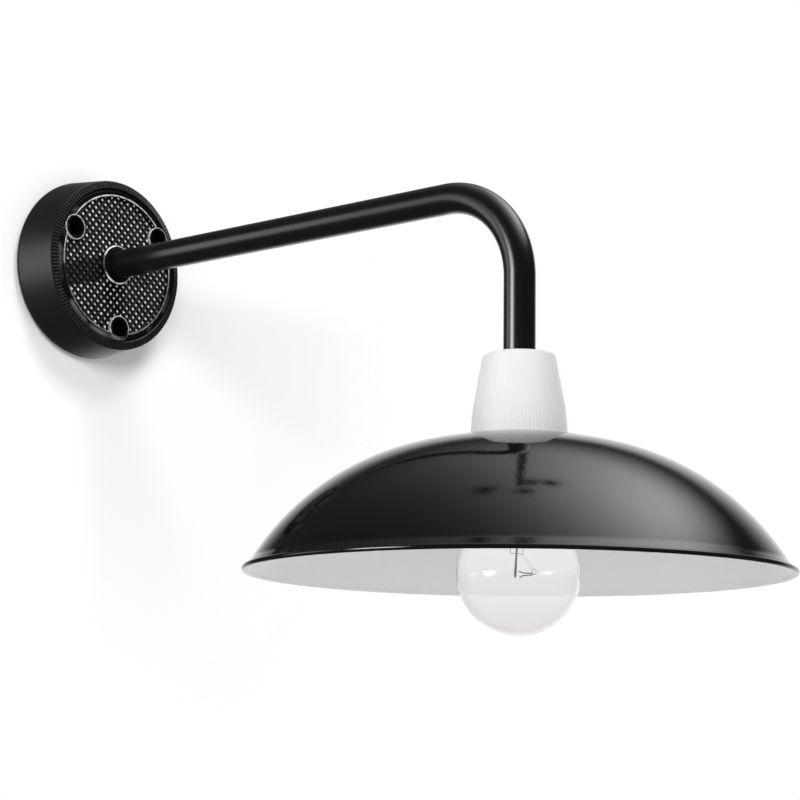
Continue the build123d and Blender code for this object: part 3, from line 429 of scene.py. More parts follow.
def plate_paint(paint, wear_and_glint):
    """Thick gloss paint on a cast plate, worn bare on the pyramids' points, the bead and the collars, where
    the bright bare metal also stands in for their glints as painted highlight; the bead is painted brighter
    towards the top, where the light falls, and the arm's reflection is painted dark beside it.
    """
    field_radius = half_width(plate_low, plate_high) - BEAD_WIDTH
    finish = Finish("plate_paint")
    flow = finish.noise(420, detail=2)
    pits = finish.noise(2200, detail=1).ease(0.6, 0.75)
    cloud = finish.noise(45, detail=3)
    depth, across, up = finish.parts(finish.place())
    out = away(across, up)
    front = plate_high.x
    # Painted dark reflection of the arm: beside the arm the points stay dark, dull and without coat
    off_line = (up - BAND_SLOPE * across).size()
    painted_arm_reflection = 1 - off_line.ease(BAND_HALF, BAND_HALF + 2.5 * MM)
    painted_arm_reflection = painted_arm_reflection * (1 - across.ease(BAND_END - 3 * MM, BAND_END))
    in_field = 1 - out.ease(field_radius - 0.3 * MM, field_radius)
    in_field = in_field * out.ease(BOSS_RADIUS, BOSS_RADIUS + 0.2 * MM)
    raised = depth.ease(front - RAISED_DEPTH, front - RAISED_DEPTH + 0.2 * MM)
    raised = raised * out.ease(BOSS_CREST, BOSS_CREST + 0.4 * MM)
    # Painted highlight: the bare bead is brighter towards the top, where the light falls
    on_bead = out.ease(field_radius, field_radius + 0.1 * MM)
    raised = raised * (1 - on_bead * (0.75 - 0.55 * up.ease(-25 * MM, 25 * MM)))
    for turn in WELL_TURNS:
        well = (WELL_CIRCLE * cos(radians(turn)), WELL_CIRCLE * sin(radians(turn)))
        off_well = away(across - well[0], up - well[1])
        in_field = in_field * off_well.ease(WELL_COLLAR, WELL_COLLAR + 0.2 * MM)
        raised = raised * off_well.ease(WELL_CREST, WELL_CREST + 0.3 * MM)
    # Points, collars and boss worn to bare metal, which also stands in for their glints as painted highlight
    low_point = front - POINT_DEPTH
    points = in_field * (depth + 0.3 * MM * flow).ease(low_point, low_point + 0.24 * MM)
    on_land = out.ease(field_radius + 1.2 * MM, field_radius + 1.8 * MM)
    scuffs = on_land * cloud.ease(0.48, 0.62) * 0.12
    bright_mark = points.larger(raised) * (1 - 0.92 * painted_arm_reflection) * (0.35 + 0.65 * flow.ease(0.35, 0.6))
    bright_mark = bright_mark.larger(scuffs)
    return finish.paint(
        base_color=finish.mix(bright_mark, paint, wear_and_glint),
        metallic=0.3 * bright_mark,
        roughness=0.2 + 0.08 * flow + 0.1 * pits + 0.35 * painted_arm_reflection,
        specular_ior_level=0.25,
        coat_weight=(0.1 + 0.1 * flow) * (1 - painted_arm_reflection),
        coat_roughness=0.1,
        normal=finish.bump(flow - 0.3 * pits, 0.02 * MM, finish.rounded(0.45 * MM)),
    )


MATT_LENGTH = 22 * MM  # of the tube, in front of the base


def tube_paint(paint):
    """Satin black on drawn tube, clear-coated except for the matt length next to the plate."""
    finish = Finish("tube_paint")
    grain = finish.noise(1300, detail=3)
    cloud = finish.noise(55, detail=3)
    reach = finish.parts(finish.place())[0]
    matt_end = base_high.x + MATT_LENGTH
    coated = reach.ease(matt_end, matt_end + 6 * MM)
    return finish.paint(
        base_color=finish.mix(cloud * 0.3, paint, scaled(paint, 1.4)),
        roughness=0.42 + 0.06 * (cloud - 0.5) + 0.04 * grain - 0.1 * coated,
        specular_ior_level=0.12,
        coat_weight=coated * (0.9 + 0.1 * cloud),
        coat_roughness=0.2,
        normal=finish.bump(grain, 0.004 * MM, finish.rounded(0.4 * MM)),
    )


def enamel_outside(glaze):
    """Black vitreous enamel: fine orange peel, slow waves, a few pinholes and dust round the porcelain."""
    finish = Finish("enamel_outside")
    peel = finish.noise(520, detail=3)
    waves = finish.noise(45, detail=1)
    pinholes = finish.noise(900, detail=0).ease(0.78, 0.84)
    along, across, _ = finish.parts(finish.place())
    dust = 1 - away(along - drop_axis[0], across).ease(30 * MM, 42 * MM)
    return finish.paint(
        base_color=finish.mix(waves * 0.3, glaze, scaled(glaze, 1.5)),
        roughness=0.05 + 0.04 * peel + 0.2 * pinholes + 0.28 * dust,
        specular_ior_level=0.5,
        normal=finish.bump(waves, 0.05 * MM, finish.bump(peel - 0.4 * pinholes, 0.022 * MM)),
    )


def enamel_inside(glaze):
    """White vitreous enamel with a soft ripple and slightly thinner, greyer patches."""
    finish = Finish("enamel_inside")
    peel = finish.noise(300, detail=2)
    thin = finish.noise(28, detail=3).ease(0.35, 0.75)
    return finish.paint(
        base_color=finish.mix(thin * 0.5, glaze, scaled(glaze, 0.97)),
        roughness=0.34 + 0.08 * peel + 0.05 * thin,
        normal=finish.bump(peel, 0.008 * MM),
    )


def porcelain(glaze, hollow):
    """White porcelain with a thin satin glaze: greyer where it pools, with specks and upright streaks."""
    finish = Finish("porcelain")
    fine = finish.noise(1500, detail=3)
    marks = finish.noise(1400, detail=3, stretch=(1, 1, 0.22), warp=0.6)
    cloud = finish.noise(60, detail=3)
    pooled = cloud.ease(0.4, 0.8) * 0.3 + marks.ease(0.45, 0.75) * 0.25
    return finish.paint(
        base_color=finish.mix(pooled, glaze, hollow),
        roughness=0.46 + 0.14 * cloud + 0.06 * fine,
        specular_ior_level=0.3,
        subsurface_weight=0.08,
        subsurface_radius=(1.0, 0.8, 0.6),
        subsurface_scale=0.5 * MM,
        sheen_weight=0.8,
        sheen_roughness=0.5,
        normal=finish.bump(0.7 * marks + 0.3 * fine, 0.06 * MM),
    )


def plain_metal(name, metal, roughness):
    """Metal with fine drawn lines, dull patches and rubbed edges."""
    finish = Finish(name)
    lines = finish.noise(2600, detail=2, stretch=(1, 1, 0.06))
    dull = finish.noise(180, detail=4).ease(0.4, 0.75)
    bright_mark = finish.edge(0.25 * MM)
    rubbed = finish.mix(bright_mark * 0.4, metal, scaled(metal, 1.25))
    return finish.paint(
        base_color=finish.mix(dull * 0.55, rubbed, scaled(metal, 0.62)),
        metallic=1.0,
        roughness=roughness + 0.16 * dull + 0.08 * lines - 0.06 * bright_mark,
        normal=finish.bump(lines, 0.008 * MM),
    )


def rubber(tone):
    """Matt moulded rubber with a fine grain and a dusty bloom."""
    finish = Finish("rubber")
    grain = finish.noise(1800, detail=3)
    bloom = finish.noise(140, detail=4).ease(0.45, 0.8)
    return finish.paint(
        base_color=finish.mix(bloom * 0.5, tone, (0.075, 0.073, 0.07)),
        roughness=0.62 + 0.2 * bloom + 0.08 * grain,
        normal=finish.bump(grain, 0.03 * MM),
    )


def milky_plastic(tone):
    """Milky moulded plastic with flow marks and a soft surface."""
    finish = Finish("block_plastic")
    flow = finish.noise(240, detail=3, warp=1.2)
    grain = finish.noise(2000, detail=2)
    return finish.paint(
        base_color=finish.mix(flow.ease(0.4, 0.7) * 0.4, tone, scaled(tone, 0.9)),
        roughness=0.42 + 0.12 * flow + 0.05 * grain,
        subsurface_weight=0.25,
        subsurface_radius=(1.0, 0.9, 0.8),
        subsurface_scale=1.2 * MM,
        normal=finish.bump(grain, 0.012 * MM),
    )


def wire_sleeve(name, tone, stripe=None):
    """Soft wire sleeve, with drawing marks, a faint bloom and an optional stripe that winds along it."""
    finish = Finish(name)
    bloom = finish.noise(300, detail=3).ease(0.45, 0.75)
    drawn = finish.noise(2400, detail=2)
    shade = tone
    if stripe is not None:
        across, along, up = finish.parts(finish.place())
        winding = finish.maths("SINE", (across + along * 0.6 + up * 0.4) * 900, 0.0)
        shade = finish.mix(winding.ease(0.1, 0.25), tone, stripe)
    return finish.paint(
        base_color=finish.mix(bloom * 0.25, shade, (0.3, 0.3, 0.3)),
        roughness=0.38 + 0.15 * bloom + 0.06 * drawn,
        normal=finish.bump(drawn, 0.012 * MM),
    )


def clear_glass(name, tint, glow_film=0.0):
    """Thin blown glass: faintly wavy and slightly dusty. A pale film inside with a painted glow, standing in
    for the bright room seen in the glass, shows on the far wall.
    """
    finish = Finish(name)
    waves = finish.noise(40, detail=1)
    dust = finish.noise(500, detail=3).ease(0.62, 0.85)
    glass = finish.surface(
        base_color=tint,
        roughness=0.05 * dust,
        ior=1.45,
        transmission_weight=1.0,
        normal=finish.bump(waves, 0.08 * MM),
    )
    if glow_film:
        behind = finish.geometry("Backfacing")
        clear = behind.larger(finish.ray("Is Reflection Ray"))
        # Painted glow: a pale, faintly emitting film for the bright room seen in the glass
        painted_glow = finish.surface(
            base_color=(0.98, 0.965, 0.965),
            roughness=0.02,
            emission_color=(1, 0.985, 0.985),
            emission_strength=0.22,
        )
        glass = finish.blend(glow_film * (1 - clear), glass, painted_glow)
    open_air = finish.node("ShaderNodeBsdfTransparent", {}, {"Color": (0.995, 0.995, 0.995)})
    through = finish.ray("Is Shadow Ray", "Is Diffuse Ray")
    return finish.show(finish.blend(through, glass, open_air))


def dark_painted_rod(tone):
    """Drawn glass rod, dull and slightly uneven in tone, painted dark as shade for how the clear rod looks
    through the bulb.
    """
    finish = Finish("dark_painted_rod")
    streaks = finish.noise(900, detail=2, stretch=(1, 1, 0.3))
    return finish.paint(
        base_color=finish.mix(streaks.ease(0.35, 0.65), tone, scaled(tone, 0.6)),
        roughness=0.3 + 0.2 * streaks,
        normal=finish.bump(streaks, 0.02 * MM),
    )


def black_glass(tone):
    """Pressed black glass with small chill wrinkles."""
    finish = Finish("insulator")
    wrinkles = finish.noise(600, detail=2)
    return finish.paint(
        base_color=finish.mix(wrinkles * 0.4, tone, scaled(tone, 2)),
        roughness=0.16 + 0.12 * wrinkles,
        normal=finish.bump(wrinkles, 0.03 * MM),
    )


# Shaping helpers


def clamp(value):
    """A number kept between 0 and 1."""
    return min(max(value, 0), 1)


def shares(steps):
    """Even steps from 0 to 1."""
    return [step / steps for step in range(steps + 1)]


def arc(centre, radius, start, stop, steps):
    """Points of an arc as (radius, height), with angles in degrees from straight up, turning outwards."""
    angles = [radians(start + (stop - start) * step / steps) for step in range(steps + 1)]
    return [(centre[0] + radius * sin(angle), centre[1] + radius * cos(angle)) for angle in angles]


def run(start, stop, steps):
    """Points along a straight line, both ends included."""
    return [tuple(a + (b - a) * step / steps for a, b in zip(start, stop)) for step in range(steps + 1)]


def skin(shape, rings, closed):
    """Join rings of the same count of corners by faces. Rings may shrink to one corner."""
    pairs = list(zip(rings, rings[1:]))
    if closed:
        pairs.append((rings[-1], rings[0]))
    for first, second in pairs:
        count = len(first)
        for step in range(count):
            after = (step + 1) % count
            corners = list(dict.fromkeys([first[step], first[after], second[after], second[step]]))
            if len(corners) > 2:
                shape.faces.new(corners)


def turned(profile, segments, closed=True, form=None, axis=drop_axis):
    """A shape turned about an upright axis. The form may change a point's radius by its row and angle."""
    shape = bmesh.new()
    rings = []
    for row, (radius, height) in enumerate(profile):
        if radius == 0:
            rings.append([shape.verts.new((*axis, height))] * segments)
            continue
        corners = []
        for step in range(segments):
            angle = 2 * pi * step / segments
            reach = form(row, angle, radius, height) if form else radius
            place = (axis[0] + reach * cos(angle), axis[1] + reach * sin(angle), height)
            corners.append(shape.verts.new(place))
        rings.append(corners)
    skin(shape, rings, closed)
    bmesh.ops.recalc_face_normals(shape, faces=shape.faces)
    return shape


def frames_along(points):
    """Two directions square to a line at each of its points, turning as little as they can."""
    points = [Vector(point) for point in points]
    tangents = []
    for index in range(len(points)):
        before = points[max(index - 1, 0)]
        after = points[min(index + 1, len(points) - 1)]
        tangents.append((after - before).normalized())
    side = tangents[0].orthogonal().normalized()
    frames = []
    for tangent in tangents:
        side = (side - tangent * side.dot(tangent)).normalized()
        frames.append((side, tangent.cross(side)))
    return frames


def ring(shape, middle, radius, side, other, count):
    """Corners of a circle round a point, in the plane of two directions."""
    angles = [2 * pi * step / count for step in range(count)]
    middle = Vector(middle)
    return [shape.verts.new(middle + radius * (cos(angle) * side + sin(angle) * other)) for angle in angles]


def bar(shape, points, radius, sides):
    """Add a round bar along a line, with flat ends."""
    path = zip(points, frames_along(points))
    rings = [ring(shape, point, radius, *square, sides) for point, square in path]
    skin(shape, rings, False)
    shape.faces.new(rings[0])
    shape.faces.new(rings[-1])


def mesh_of(name, shape):
    """A mesh with a shape's faces. The shape is used up."""
    mesh = bpy.data.meshes.new(name)
    shape.to_mesh(mesh)
    shape.free()
    return mesh


def add_object(name, data):
    """Put an object with this mesh, light or camera into the scene."""
    made = bpy.data.objects.new(name, data)
    bpy.context.scene.collection.objects.link(made)
    return made


def piece(name, shape, finishes, body, nodes, crease=40.0):
    """Turn a shape into an object that stands for CAD nodes and moves with their body."""
    bmesh.ops.recalc_face_normals(shape, faces=shape.faces)
    mesh = mesh_of(name, shape)
    for finish in finishes:
        mesh.materials.append(finish)
    mesh.shade_smooth()
    mesh.set_sharp_from_angle(angle=radians(crease))
    made = add_object(name, mesh)
    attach(made, body)
    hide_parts(*nodes)


def dress(finish, *nodes):
    """Give a finish to CAD nodes that keep their shape."""
    for node in nodes:
        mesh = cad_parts[node].data
        mesh.materials.clear()
        mesh.materials.append(finish)


def settings(context):
    """The lamp's own settings in the scene."""
    return context.scene.wall_lamp


class WallLampSettings(bpy.types.PropertyGroup):
    """All of the lamp's sizes and colours"""

    shade: PointerProperty(type=ShadeSizes)
    porcelain: PointerProperty(type=PorcelainSizes)
    bulb: PointerProperty(type=BulbSizes)
    arm: PointerProperty(type=ArmSizes)
    colours: PointerProperty(type=FinishColours)
    stage: PointerProperty(type=StageSettings)


# Operators: one for each piece or group of like pieces


class LampOperator:
    """What the operators share"""

    bl_options = {"REGISTER", "UNDO"}


class WALLLAMP_OT_base(LampOperator, bpy.types.Operator):
    """Paint the wall base, its front plate and screws, and the rubber parts"""

    bl_idname = "wall_lamp.base"
    bl_label = "Base and plate"

    def execute(self, context):
        tones = settings(context).colours
        wear_and_glint = tones.bare_edge_and_glint
        dress(base_paint(tones.base_paint, wear_and_glint), "wall_base")
        dress(plate_paint(tones.plate_paint, wear_and_glint), "front_plate")
        dress(plain_metal("black_steel", tones.black_steel, 0.3), "plate_screws")
        dress(rubber(tones.rubber), "cable_grommet", "shade_gasket")
        return {"FINISHED"}


TUBE_SIDES = 96


class WALLLAMP_OT_arm(LampOperator, bpy.types.Operator):
    """Bend the tube arm and paint it with its collar"""

    bl_idname = "wall_lamp.arm"
    bl_label = "Arm"

    def execute(self, context):
        sizes = settings(context).arm
        tones = settings(context).colours
        bend_x = drop_axis[0] - sizes.bend
        line = run((arm_low.x, 0, 0), (bend_x, 0, 0), 26)
        bend = arc((bend_x, -sizes.bend), sizes.bend, 0, 90, 40)
        line += [(reach, 0, height) for reach, height in bend[1:]]
        line += run((drop_axis[0], 0, -sizes.bend), (drop_axis[0], 0, arm_low.z), 4)[1:]
        shape = bmesh.new()
        path = list(zip(line, frames_along(line)))
        rings = []
        for radius, way in ((sizes.radius, path), (sizes.bore, path[::-1])):
            rings += [ring(shape, point, radius, *square, TUBE_SIDES) for point, square in way]
        skin(shape, rings, True)
        finish = tube_paint(tones.tube_paint)
        piece("bent_tube", shape, [finish], "base", ["arm_tube"])
        dress(finish, "arm_collar")
        return {"FINISHED"}


class WALLLAMP_OT_wiring(LampOperator, bpy.types.Operator):
    """Finish the fasteners, terminals and wires inside the base, arm and lampholder"""

    bl_idname = "wall_lamp.wiring"
    bl_label = "Wiring and fasteners"

    def execute(self, context):
        tones = settings(context).colours
        dress(
            plain_metal("steel", tones.steel, 0.3),
            "arm_washer", "arm_locknut", "terminal_screws", "terminal_fixing_screw", "earth_screw",
            "tube_end_bush", "nipple", "nipple_washer", "nipple_nut", "holder_terminal_screws",
        )
        dress(
            plain_metal("brass", tones.brass, 0.26),
            "terminal_sleeves", "earth_lug", "live_terminal", "neutral_terminal", "contact_rivets",
            "centre_contact",
        )
        dress(milky_plastic(tones.block), "terminal_block")
        dress(wire_sleeve("brown_wire", tones.brown_sleeve), "live_wire")
        dress(wire_sleeve("blue_wire", tones.blue_sleeve), "neutral_wire")
        dress(wire_sleeve("earth_wire", tones.green_sleeve, tones.yellow_stripe), "earth_wire")
        return {"FINISHED"}


CAP_ROOF = 7 * MM  # porcelain over the room for the wires
CAP_ROOM = 24 * MM  # top of the cap to the foot of that room
SHELL_WALL = 0.5 * MM
SCREW_WALL = 0.35 * MM
THREAD_SIDES = 96
THREAD_RUNOUT = 2 * MM


def threaded_sleeve(sizes, low, high, wall, rows):
    """A thin sleeve with a round thread that runs out near both ends."""
    radius = half_width(low, high)
    outer = run((radius, high.z), (radius, low.z), rows)
    inner = [(reach - wall, height) for reach, height in outer[::-1]]

    def thread(row, angle, reach, height):
        """The reach without the depth of the thread."""
        turns = height / sizes.thread_pitch - angle / (2 * pi)
        runout = clamp((height - low.z) / THREAD_RUNOUT) * clamp((high.z - height) / THREAD_RUNOUT)
        return reach - sizes.thread_depth * runout * (0.5 - 0.5 * cos(2 * pi * turns))

    return turned(outer + inner, THREAD_SIDES, form=thread)


class WALLLAMP_OT_lampholder(LampOperator, bpy.types.Operator):
    """Turn the ribbed porcelain cap and the threaded shell, and glaze the rest of the lampholder"""

    bl_idname = "wall_lamp.lampholder"
    bl_label = "Lampholder"

    def execute(self, context):
        tones = settings(context).colours
        glaze = porcelain(tones.porcelain, tones.porcelain_hollow)
        dress(glaze, "socket_insert", "holder_skirt")
        self.make_cap(settings(context).porcelain, glaze)
        self.make_shell(settings(context).bulb, bpy.data.materials["brass"])  # from the wiring step
        return {"FINISHED"}

    def make_cap(self, sizes, glaze):
        """Cone with a rounded top, a soft knee and fine ribs that grow towards the foot."""
        top = cap_high.z
        foot = cap_low.z
        knee = top - sizes.knee_drop
        slope = degrees(atan2(sizes.knee_drop, sizes.knee_radius - sizes.shoulder_radius))
        round_r = sizes.shoulder_round
        inset = round_r * (1 - sin(radians(90 - slope))) / cos(radians(90 - slope))
        top_edge = arc((sizes.shoulder_radius - inset, top - round_r), round_r, 0, slope, 8)
        side = run(top_edge[-1], (sizes.knee_radius, knee), 30)[1:]
        foot_run = sizes.foot_radius - sizes.knee_radius
        drop = knee - foot
        flare = [
            (sizes.knee_radius + foot_run * (1 - (1 - share) ** 1.6), knee - drop * share)
            for share in shares(12)[1:]
        ]
        outside = top_edge + side + flare
        inside = [
            (sizes.bore_radius, foot),
            (sizes.bore_radius, top - CAP_ROOM),
            (sizes.room_radius, top - CAP_ROOM),
            (sizes.room_radius, top - CAP_ROOF),
            (sizes.hole_radius, top - CAP_ROOF),
            (sizes.hole_radius, top),
        ]
        ribbed_rows = len(outside) - 1

        def ribs(row, angle, radius, height):
            """Fine upright ribs, slightly wavy, that fade out near the top and at the foot's edge."""
            if row == 0 or row > ribbed_rows:
                return radius
            down = (top - height) / (top - foot)
            fade = clamp((down - 0.1) / 0.5) * min((1 - down) / 0.04, 1)
            sway = 0.9 * sin(3 * angle + 13 * down) + 0.8 * sin(11 * angle - 31 * down)
            broken = 0.65 + 0.35 * sin(17 * angle + 23 * down) * sin(5 * angle - 37 * down)
            wave = 0.5 + 0.5 * cos(sizes.rib_count * angle + sway)
            return radius - sizes.rib_depth * fade * broken * wave

        shape = turned(outside + inside, sizes.rib_count * 8, form=ribs)
        piece("ribbed_cap", shape, [glaze], "base", ["lamp_cap"], crease=50)

    def make_shell(self, sizes, brass):
        """Rolled brass shell whose round thread matches the bulb's."""
        shape = threaded_sleeve(sizes, shell_low, shell_high, SHELL_WALL, 66)
        piece("threaded_shell", shape, [brass], "base", ["screw_shell"], crease=60)


SHADE_SEGMENTS = 300
ROLL_STEPS = 30
WHITE_FROM = 178.0  # where the white starts on the rolled edge, in degrees from straight up


class WALLLAMP_OT_shade(LampOperator, bpy.types.Operator):
    """Spin the enamel shade, black outside and white inside"""

    bl_idname = "wall_lamp.shade"
    bl_label = "Shade"

    def execute(self, context):
        sizes = settings(context).shade
        tones = settings(context).colours
        rim = sizes.rim_radius
        low = shade_low.z
        high = shade_high.z
        crown_c = (0, high - sqrt(sizes.crown_radius**2 - sizes.seat_radius**2))
        foot = (rim - sizes.lip_width, low + sizes.lip_height)
        reach = hypot(foot[0], foot[1] - crown_c[1])
        offset = sizes.crown_radius - sizes.shoulder_radius
        turn = acos((reach**2 + offset**2 - sizes.shoulder_radius**2) / (2 * offset * reach))
        join = degrees(atan2(foot[0], foot[1] - crown_c[1]) - turn)
        shoulder_c = (offset * sin(radians(join)), crown_c[1] + offset * cos(radians(join)))
        seat = degrees(asin(sizes.seat_radius / sizes.crown_radius))
        foot_angle = degrees(atan2(foot[0] - shoulder_c[0], foot[1] - shoulder_c[1]))

        def dome(inset):
            """The dome's line from the seat to the foot, set in by so much."""
            crown = arc(crown_c, sizes.crown_radius - inset, seat, join, 16)
            shoulder = arc(shoulder_c, sizes.shoulder_radius - inset, join, foot_angle, 72)
            return crown + shoulder[1:]

        outer = dome(0)
        inner = dome(sizes.steel)
        roll = sizes.roll_radius
        roll_c = Vector((rim - roll, low + roll))
        lip = roll_c - (Vector(outer[-1]) + Vector(inner[-1])) / 2
        heading = degrees(atan2(lip.x, lip.y))
        round_half = 180 - degrees(asin(sizes.steel / 2 / roll))
        edge = arc(roll_c, roll, heading - round_half, heading + round_half, ROLL_STEPS)
        outer_line = [(sizes.hole_radius, high)] + outer + run(outer[-1], edge[0], 6)[1:-1]
        inner_line = run(edge[-1], inner[-1], 6)[1:-1] + inner[::-1]
        inner_line.append((sizes.hole_radius, high - sizes.steel))
        profile = outer_line + edge + inner_line
        shape = turned(profile, SHADE_SEGMENTS)
        black_steps = ROLL_STEPS * (WHITE_FROM - heading + round_half) / (2 * round_half)
        for index, face in enumerate(shape.faces):
            row, step = divmod(index, SHADE_SEGMENTS)
            angle = 2 * pi * step / SHADE_SEGMENTS
            ragged = 0.8 * sin(19 * angle) + 0.7 * sin(47 * angle + 1) + 0.7 * sin(101 * angle + 2)
            white = row >= len(outer_line) + black_steps + ragged
            face.material_index = int(white and row < len(profile) - 1)
        finishes = [enamel_outside(tones.enamel_out), enamel_inside(tones.enamel_in)]
        piece("enamel_shade", shape, finishes, "base", ["shade"])
        return {"FINISHED"}


# Painted glow inside the bulb: a pale emitting film on the far wall of the glass
GLOW_FILM_TOP = 0.6  # the film's upper edge, as a share of the globe's radius above its middle

# Stem: drops from its top, the press's radius and the height of its thicker end
FLARE_DROP = 19 * MM
PRESS_DROP = 25 * MM
ROD_FROM = 27 * MM
PRESS_RADIUS = 2.4 * MM
ROD_END = 8 * MM

# Hooked support wire in millimetres: to the right of the rod, and above the hook's middle
HOOK_RISE = 1.8 * MM
HOOK_LINE = (
    (1.5, 1.5), (3.6, 0.7), (5.6, 0.55), (8.0, 0.45), (8.6, 0.1),
    (8.0, -0.35), (5.6, -0.45), (3.8, -0.6), (2.2, -1.6),
)

COIL_TURNS = 40
COIL_STEPS = 6  # in each turn
COIL_RADIUS = 0.1 * MM


def coil(start, stop):
    """Points of a fine coil from one place to another."""
    along = (stop - start).normalized()
    side = along.orthogonal().normalized()
    other = along.cross(side)
    points = []
    for step in range(COIL_TURNS * COIL_STEPS + 1):
        angle = 2 * pi * step / COIL_STEPS
        middle = start.lerp(stop, step / (COIL_TURNS * COIL_STEPS))
        points.append(middle + COIL_RADIUS * (cos(angle) * side + sin(angle) * other))
    return points


class WALLLAMP_OT_bulb(LampOperator, bpy.types.Operator):
    """Blow the clear bulb and set its cap, stem, wires and filament"""

    bl_idname = "wall_lamp.bulb"
    bl_label = "Bulb"

    def execute(self, context):
        sizes = settings(context).bulb
        tones = settings(context).colours
        glass = clear_glass("clear_glass", tones.glass)
        wire = plain_metal("bulb_wire", tones.wire, 0.4)
        self.make_globe(sizes, glass, clear_glass("glow_film_glass", tones.glass, glow_film=0.75))
        self.make_cap(sizes, plain_metal("cap_metal", tones.cap_metal, 0.28))
        self.make_stem(sizes, glass, dark_painted_rod(tones.rod))
        self.make_wires(sizes, wire)
        dress(black_glass(tones.insulator), "bulb_insulator")
        dress(bpy.data.materials["steel"], "bulb_foot_contact")  # from the wiring step
        return {"FINISHED"}

    def make_globe(self, sizes, glass, glow_film):
        """A ball that flows through a hollow curve into the neck."""
        globe_z = glass_low.z + sizes.globe_radius

        def line(inset):
            """From the neck's end to the bottom of the ball, set in by so much."""
            ball = sizes.globe_radius - inset
            neck = sizes.neck_radius - inset
            hollow = sizes.neck_round + inset
            rise = sqrt((ball + hollow)**2 - (neck + hollow)**2)
            hollow_c = (neck + hollow, globe_z + rise)
            touch = degrees(atan2(hollow_c[0], rise))
            neck_line = run((neck, glass_high.z), (neck, hollow_c[1]), 5)
            turn = arc(hollow_c, -hollow, 90, touch, 18)[1:]
            round_part = arc((0, globe_z), ball, touch, 180, 160)[1:-1]
            return neck_line + turn + round_part + [(0, globe_z - ball)]

        outer = line(0)
        inner = line(sizes.wall)[::-1]
        shape = turned(outer + inner, 144)
        # The far wall's inside, below the film's top, gets the painted glow film
        for face in shape.faces:
            middle = face.calc_center_median() - Vector((*drop_axis, globe_z))
            inside = middle.length < sizes.globe_radius - sizes.wall / 2
            face.material_index = int(inside and middle.z < GLOW_FILM_TOP * sizes.globe_radius)
        piece("bulb_globe", shape, [glass, glow_film], "bulb", ["bulb_glass"], crease=60)

    def make_cap(self, sizes, metal):
        """Rolled screw cap with the round thread."""
        shape = threaded_sleeve(sizes, screw_low, screw_high, SCREW_WALL, 70)
        piece("screw_cap", shape, [metal], "bulb", ["bulb_cap"], crease=60)

    def lean(self, sizes, height):
        """Where the leaning rod's middle is at a height."""
        down = clamp((stem_high.z - height) / (stem_high.z - stem_low.z))
        return Vector((*drop_axis, height)) - sizes.rod_lean * down**2 * VIEW_RIGHT

    def make_stem(self, sizes, glass, rod_glass):
        """Flared foot, pinched press and a thin rod with a thicker end."""
        top = stem_high.z
        low = stem_low.z
        flare = half_width(stem_low, stem_high)
        rod = sizes.rod_radius
        thin = rod * 0.8
        profile = [(0, top)]
        for share in shares(14):
            wide = (1 - share) ** 2.2
            profile.append((flare * wide + PRESS_RADIUS * (1 - wide), top - FLARE_DROP * share))
        profile += [(PRESS_RADIUS, top - PRESS_DROP), (thin, top - PRESS_DROP - 4 * MM)]
        profile += run((thin, top - PRESS_DROP - 5 * MM), (thin, low + ROD_END), 10)
        profile += [(rod, low + 6 * MM), (rod, low + 1.2 * MM), (rod * 0.7, low + 0.3 * MM), (0, low)]
        shape = turned(profile, 32, closed=False)
        for corner in shape.verts:
            middle = self.lean(sizes, corner.co.z)
            corner.co.x += middle.x - drop_axis[0]
            corner.co.y += middle.y - drop_axis[1]
        for face in shape.faces:
            face.material_index = int(face.calc_center_median().z < top - ROD_FROM)
        piece("glass_stem", shape, [glass, rod_glass], "bulb", ["bulb_stem"])

    def make_wires(self, sizes, wire):
        """Two leads down to a cross wire, a hook for the filament's turn and the filament itself."""
        foot_z = lead_low.z
        thick = sizes.wire_radius

        def beside(right, near, height):
            """A point beside the rod, in millimetres to the right and nearer as the photograph shows it."""
            middle = self.lean(sizes, height)
            return middle + right * MM * VIEW_RIGHT - near * MM * VIEW_AHEAD

        leads = bmesh.new()
        for side in (-1, 1):
            start = beside(side * 2.8, 0, lead_high.z)
            bend = beside(side * 3.1, 0.2 * side, foot_z + 6 * MM)
            stop = beside(side * 3.0, 0.3 * side, foot_z)
            bar(leads, [start, bend, stop], thick * 0.5, 10)
        piece("lead_wires", leads, [wire], "bulb", ["bulb_lead_wires"])

        supports = bmesh.new()
        cross = [beside(-3.1, 0.3, foot_z), beside(0, 0, foot_z), beside(3.1, -0.3, foot_z - 0.2 * MM)]
        bar(supports, cross, thick * 0.5, 10)
        hook_z = stem_low.z + HOOK_RISE
        bar(supports, [beside(right, 0.4, hook_z + up * MM) for right, up in HOOK_LINE], thick * 1.2, 10)
        loop = []
        for angle in range(0, 361, 18):
            swing = sin(radians(angle))
            rise = 1.3 + 1.3 * cos(radians(angle))
            loop.append(beside(9.0 + swing, 0.4 + 0.3 * swing, hook_z + rise * MM))
        bar(supports, loop, thick * 0.5, 8)
        piece("support_wires", supports, [wire], "bulb", ["bulb_support_wires"])

        filament = bmesh.new()
        strands = (
            ((3.0, 0.1, foot_z), (8.8, 0.4, hook_z + 2.2 * MM)),
            ((8.6, 0.6, hook_z + 1.2 * MM), (2.0, 2.2, foot_z - 0.3 * MM)),
        )
        for start, stop in strands:
            bar(filament, coil(beside(*start), beside(*stop)), sizes.filament_radius * 0.6, 5)
        piece("coiled_filament", filament, [wire], "bulb", ["bulb_filament"])


# Stage: wall, floor, light and camera


WALL_GAP = 0.5 * MM  # behind the base, so that the two don't fight
FLOOR_RADIUS = 2.0
FLOOR_VEIL = 0.6  # share of the floor that the eye sees through
DISC_SIDES = 96
DARK_ROOM = 0.05  # what the gloss shows where there is no light

